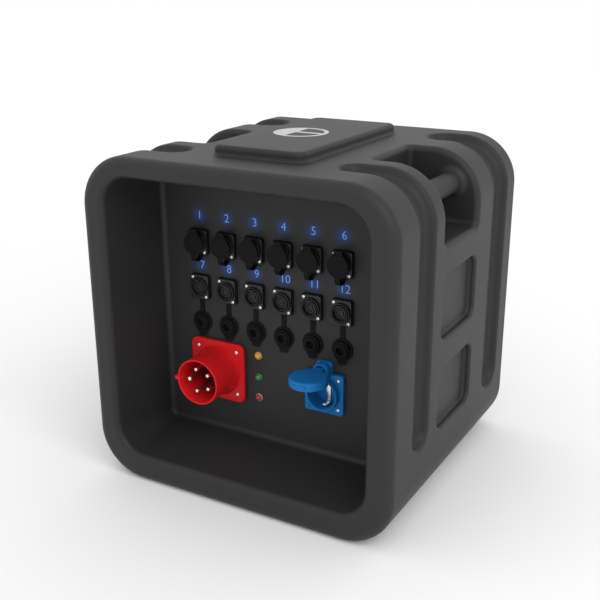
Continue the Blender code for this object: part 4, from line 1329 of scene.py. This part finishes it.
# ================================================================ domestic socket
@dataclass
class Socket:
    """The blue socket with its hinged lid."""

    centre: Vector
    flange: float = 0.052
    flange_out: float = 0.0053
    collar: float = 0.0204
    well: float = 0.0186
    collar_out: float = 0.0128
    floor_out: float = -0.0078
    pivot_rise: float = 0.0314
    pivot_out: float = 0.0112
    lid_radius: float = 0.0231
    hinge_half: float = 0.0103
    screw_place: float = 0.019

    def build(self) -> None:
        """Make every piece of the socket."""
        self.build_housing()
        self.build_well()
        self.build_clip()
        self.build_lid()
        for side_x, name, look in ((1, "socket_screws", Look.STEEL), (-1, "socket_plugs", Look.BLUE)):
            heads = []
            for side_z in (-1, 1):
                place = (side_x * self.screw_place, -self.flange_out + 0.0003, side_z * self.screw_place)
                heads.append(moved(screw_head(0.0024, 0.0011), place))
            publish(joined(*heads), name, look, at=self.centre)

    def build_housing(self) -> None:
        """Make the flange, the collar and the hinge housing."""
        thickness = self.flange_out - 0.0003
        plate = pierced(slab(self.flange, self.flange, thickness, 0.0035, 0.0008), self.collar - 0.0010)
        moved(plate, (0, -0.0003, 0))
        hump_low, hump_high = 0.0235, self.pivot_rise + 0.0090
        hump = slab(2 * self.hinge_half, hump_high - hump_low, thickness, 0.0030, 0.0008)
        moved(hump, (0, -0.0003, (hump_high + hump_low) / 2))
        hood = arch((self.hinge_half - 0.0001, 0.0057), (self.pivot_rise + 0.0089, self.pivot_rise + 0.0058),
                    0.0237, self.pivot_out + 0.0032, 0.0016)
        moved(hood, (0, -0.0005, 0))
        parts = [plate, hump, hood]
        lug = bar((0.0060, 0.0042, 0.0020), (0, -self.flange_out - 0.0021, -self.collar), 0.0005)
        parts.append(lug)
        profile = softened([
            (self.collar - 0.0006, -0.024), (self.collar - 0.0006, 0.003), (self.collar + 0.0006, 0.003),
            (self.collar, self.collar_out), (self.well, self.collar_out), (self.well - 0.0003, 0.004),
            (self.well - 0.0006, -0.022),
        ], 0.0006)
        parts.append(turned(profile, 80))
        publish(joined(*parts), "socket_shell", Look.BLUE, replaces=["socket_housing"], at=self.centre)

    def build_well(self) -> None:
        """Make the floor of the well with its two contact holes and guide ribs, each hole a raised ring round a
        black disc of painted shade.
        """
        floor = self.floor_out
        bm = turned(softened([(0.0, -0.020), (0.0183, -0.020), (0.0183, floor), (0.0, floor)], 0.0005), 64)
        parts = [bm]
        for side in (-1, 1):
            ring = softened([(0.0040, floor - 0.001), (0.0038, floor + 0.0006), (0.0027, floor + 0.0006),
                             (0.0027, floor - 0.001)], 0.0003)
            parts.append(moved(turned(ring, 28), (side * 0.0095, 0, 0)))
            rib = bar((0.0026, 0.0170, 0.0052), (side * 0.0176, -floor - 0.0084, 0), 0.0006)
            parts.append(rib)
        publish(joined(*parts), "socket_floor", Look.BLUE, at=self.centre)
        # thin black discs in the rings paint the shade inside the two contact holes: painted shade
        holes = []
        for side in (-1, 1):
            hole = turned([(0.0, floor + 0.0002), (0.0027, floor + 0.0002), (0.0027, floor + 0.00035),
                           (0.0, floor + 0.00035)], 24)
            holes.append(moved(hole, (side * 0.0095, 0, 0)))
        publish(joined(*holes), "socket_hole_shade_discs", Look.FLANGE, at=self.centre)

    def build_clip(self) -> None:
        """Make the earth strip with its two standing contacts."""
        low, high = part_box("earth_clip")
        middle = (low + high) / 2 - self.centre
        half = (high.z - low.z) / 2 - 0.0003
        base = bar((0.0060, 0.0011, 2 * half), (middle.x, high.y - self.centre.y - 0.0006, 0), 0.0003)
        parts = [base]
        for side in (-1, 1):
            blade = bar((0.0060, 0.0115, 0.0011), (middle.x, middle.y, side * (half - 0.0006)), 0.0003)
            knob = bar((0.0050, 0.0030, 0.0018), (middle.x, low.y - self.centre.y + 0.0022,
                                                  side * (half - 0.0014)), 0.0007, 3)
            parts += [blade, knob]
        publish(joined(*parts), "socket_earth_strip", Look.STEEL, replaces=["earth_clip"], at=self.centre)

    def build_lid(self) -> None:
        """Make the lid with its hinge barrel, standing open about its pivot."""
        top, face, skirt = 0.0051, 0.0027, 0.0102
        profile = softened([
            (0.0, top - face), (0.0218, top - face), (0.0220, top - skirt), (0.0227, top - skirt),
            (self.lid_radius, top - skirt + 0.0008), (self.lid_radius, top - 0.0024),
            (self.lid_radius - 0.0012, top - 0.0006), (self.lid_radius - 0.0032, top), (0.0, top),
        ], 0.0006)
        lid = turned(profile, 88)
        moved(lid, (0, -self.pivot_rise, 0), about_x(-90))
        arm = bar((0.0100, 0.0100, 0.0027), (0, -0.0042, top - 0.0006 - face / 2), 0.0008)
        barrel = turned(softened([(0.0018, -0.0052), (0.0033, -0.0052), (0.0033, 0.0052), (0.0018, 0.0052)],
                                 0.0005), 32)
        moved(barrel, turn=Matrix.Rotation(math.radians(90), 4, "Z"))
        latch = bar((0.0150, 0.0034, 0.0030), (0, -self.pivot_rise - self.lid_radius + 0.0006, top - 0.0050),
                    0.0009)
        whole = joined(lid, arm, barrel, latch)
        pivot = self.centre + Vector((0, -self.pivot_out, self.pivot_rise))
        publish(whole, "socket_lid_body", Look.BLUE, "socket_lid", ["socket_lid"], at=pivot)


# ================================================================ rear and inside
@dataclass
class RearCover:
    """The screwed cover in the back of the case."""

    thickness: float = 0.005

    def build(self) -> None:
        """Make the cover and its screws."""
        low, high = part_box("rear_cover")
        centre = Vector((0, high.y, (low.z + high.z) / 2))
        flip = Matrix.Rotation(math.pi, 4, "Z")
        width, height = high.x - low.x, high.z - low.z
        plate = slab(width, height, self.thickness, 0.0217, 0.0009)
        field_plate = moved(slab(width - 0.060, height - 0.060, 0.0030, 0.014, 0.0010), (0, -0.0035, 0))
        moved(joined(plate, field_plate), (0, -self.thickness, 0), flip)
        publish(plate, "rear_cover_plate", Look.COVER, replaces=["rear_cover"], at=centre)
        for index in range(1, 5):
            low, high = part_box(f"rear_cover_screw_{index}")
            head = moved(screw_head(0.0041, 0.0020), turn=flip)
            place = Vector(((low.x + high.x) / 2, high.y - 0.0021, (low.z + high.z) / 2))
            publish(head, f"rear_screw_{index}", Look.STEEL, replaces=[f"rear_cover_screw_{index}"], at=place)


def dress_hidden_parts() -> None:
    """Give the CAD parts that stay their finishes."""
    for node, look in (("terminal_block", Look.COVER), ("earth_bar", Look.PIN), ("lid_pin", Look.STEEL)):
        part = frame["nodes"][node]
        part.data.materials.clear()
        part.data.materials.append(material_of(look))


# ================================================================ studio
@dataclass
class Studio:
    """Camera, floor and soft lights."""

    camera_place: Triple = (0.551436, -0.990758, 0.600388)
    yaw: float = 0.519
    pitch: float = 0.334
    roll: float = -0.004
    focal: float = 56.04
    room: float = 1.02
    backdrop: float = 0.99
    lamp_place: Triple = (1.75, -1.15, 1.95)
    lamp_aim: Triple = (0.0, -0.1, 0.18)
    lamp_size: float = 1.6
    lamp_power: float = 21.0

    def build(self) -> None:
        """Make the camera, the floor, the world and the light."""
        self.build_camera()
        self.build_floor()
        self.build_world()
        self.build_light()

    def build_light(self) -> None:
        """Hang one wide soft light in front, above and to the right."""
        data = bpy.data.lights.new("soft_light", "AREA")
        data.shape = "SQUARE"
        data.size = self.lamp_size
        data.energy = self.lamp_power
        light = bpy.data.objects.new("soft_light", data)
        pointed(light, self.lamp_place, Vector(self.lamp_aim) - Vector(self.lamp_place))

    def build_camera(self) -> None:
        """Set the camera at the viewing place."""
        data = bpy.data.cameras.new("camera")
        data.lens = self.focal
        data.sensor_width = 36.0
        data.clip_start = 0.01
        camera = bpy.data.objects.new("camera", data)
        level = math.cos(self.pitch)
        ahead = Vector((-math.sin(self.yaw) * level, math.cos(self.yaw) * level, -math.sin(self.pitch)))
        pointed(camera, self.camera_place, ahead)
        camera.matrix_world @= Matrix.Rotation(self.roll, 4, "Z")
        bpy.context.scene.camera = camera

    def build_floor(self) -> None:
        """Lay a wide pale floor."""
        bm = bmesh.new()
        bmesh.ops.create_grid(bm, x_segments=1, y_segments=1, size=30.0)
        mesh = bpy.data.meshes.new("floor")
        bm.to_mesh(mesh)
        bm.free()
        floor = bpy.data.objects.new("floor", mesh)
        bpy.context.scene.collection.objects.link(floor)
        made = bpy.data.materials.new("floor_white")
        made.use_nodes = True
        shader = made.node_tree.nodes["Principled BSDF"]
        shader.inputs["Roughness"].default_value = 1.0
        shader.inputs["Specular IOR Level"].default_value = 0.0
        tree = Tree(made.node_tree)
        place = tree.add("TexCoord").outputs["Object"]
        away = tree.add("VectorMath", {0: place}, operation="LENGTH").outputs["Value"]
        fade = tree.add("MapRange", {"Value": away, 1: 0.5, 2: 2.4, 3: 0.89, 4: 0.985}).outputs[0]
        white = tree.add("CombineColor", {0: fade, 1: fade, 2: fade}).outputs[0]
        made.node_tree.links.new(white, shader.inputs["Base Color"])
        mesh.materials.append(made)

    def build_world(self) -> None:
        """Set the even white surroundings."""
        scene = bpy.context.scene
        world = bpy.data.worlds.new("studio")
        world.use_nodes = True
        back = world.node_tree.nodes["Background"]
        back.inputs["Color"].default_value = (1.0, 1.0, 1.0, 1.0)
        back.inputs["Strength"].default_value = self.room
        tree = Tree(world.node_tree)
        seen = tree.add("LightPath").outputs["Is Camera Ray"]
        dimmed = tree.maths("ADD", self.room, tree.maths("MULTIPLY", seen, self.backdrop - self.room))
        world.node_tree.links.new(dimmed, back.inputs["Strength"])
        scene.world = world
        scene.view_settings.view_transform = "Standard"
        scene.view_settings.look = "None"
        scene.view_settings.exposure = 0.0


def main() -> None:
    """Build the whole box and its studio."""
    logging.basicConfig(level=logging.INFO, format="%(name)s %(message)s")
    Case().build()
    RearCover().build()
    for number in range(1, 13):
        row = Row.SHUT if number <= 6 else Row.HANGING
        Outlet(number, node_centre(f"outlet_{number:02d}"), row).build()
    Numbers().build()
    Inlet(node_centre("inlet_housing")).build()
    for name, look in (("lamp_amber", Look.AMBER), ("lamp_green", Look.GREEN), ("lamp_red", Look.CRIMSON)):
        Lamp(name, node_centre(name), look).build()
    Socket(SOCKET_CENTRE).build()
    dress_hidden_parts()
    Studio().build()


if __name__ == "__main__":
    main()
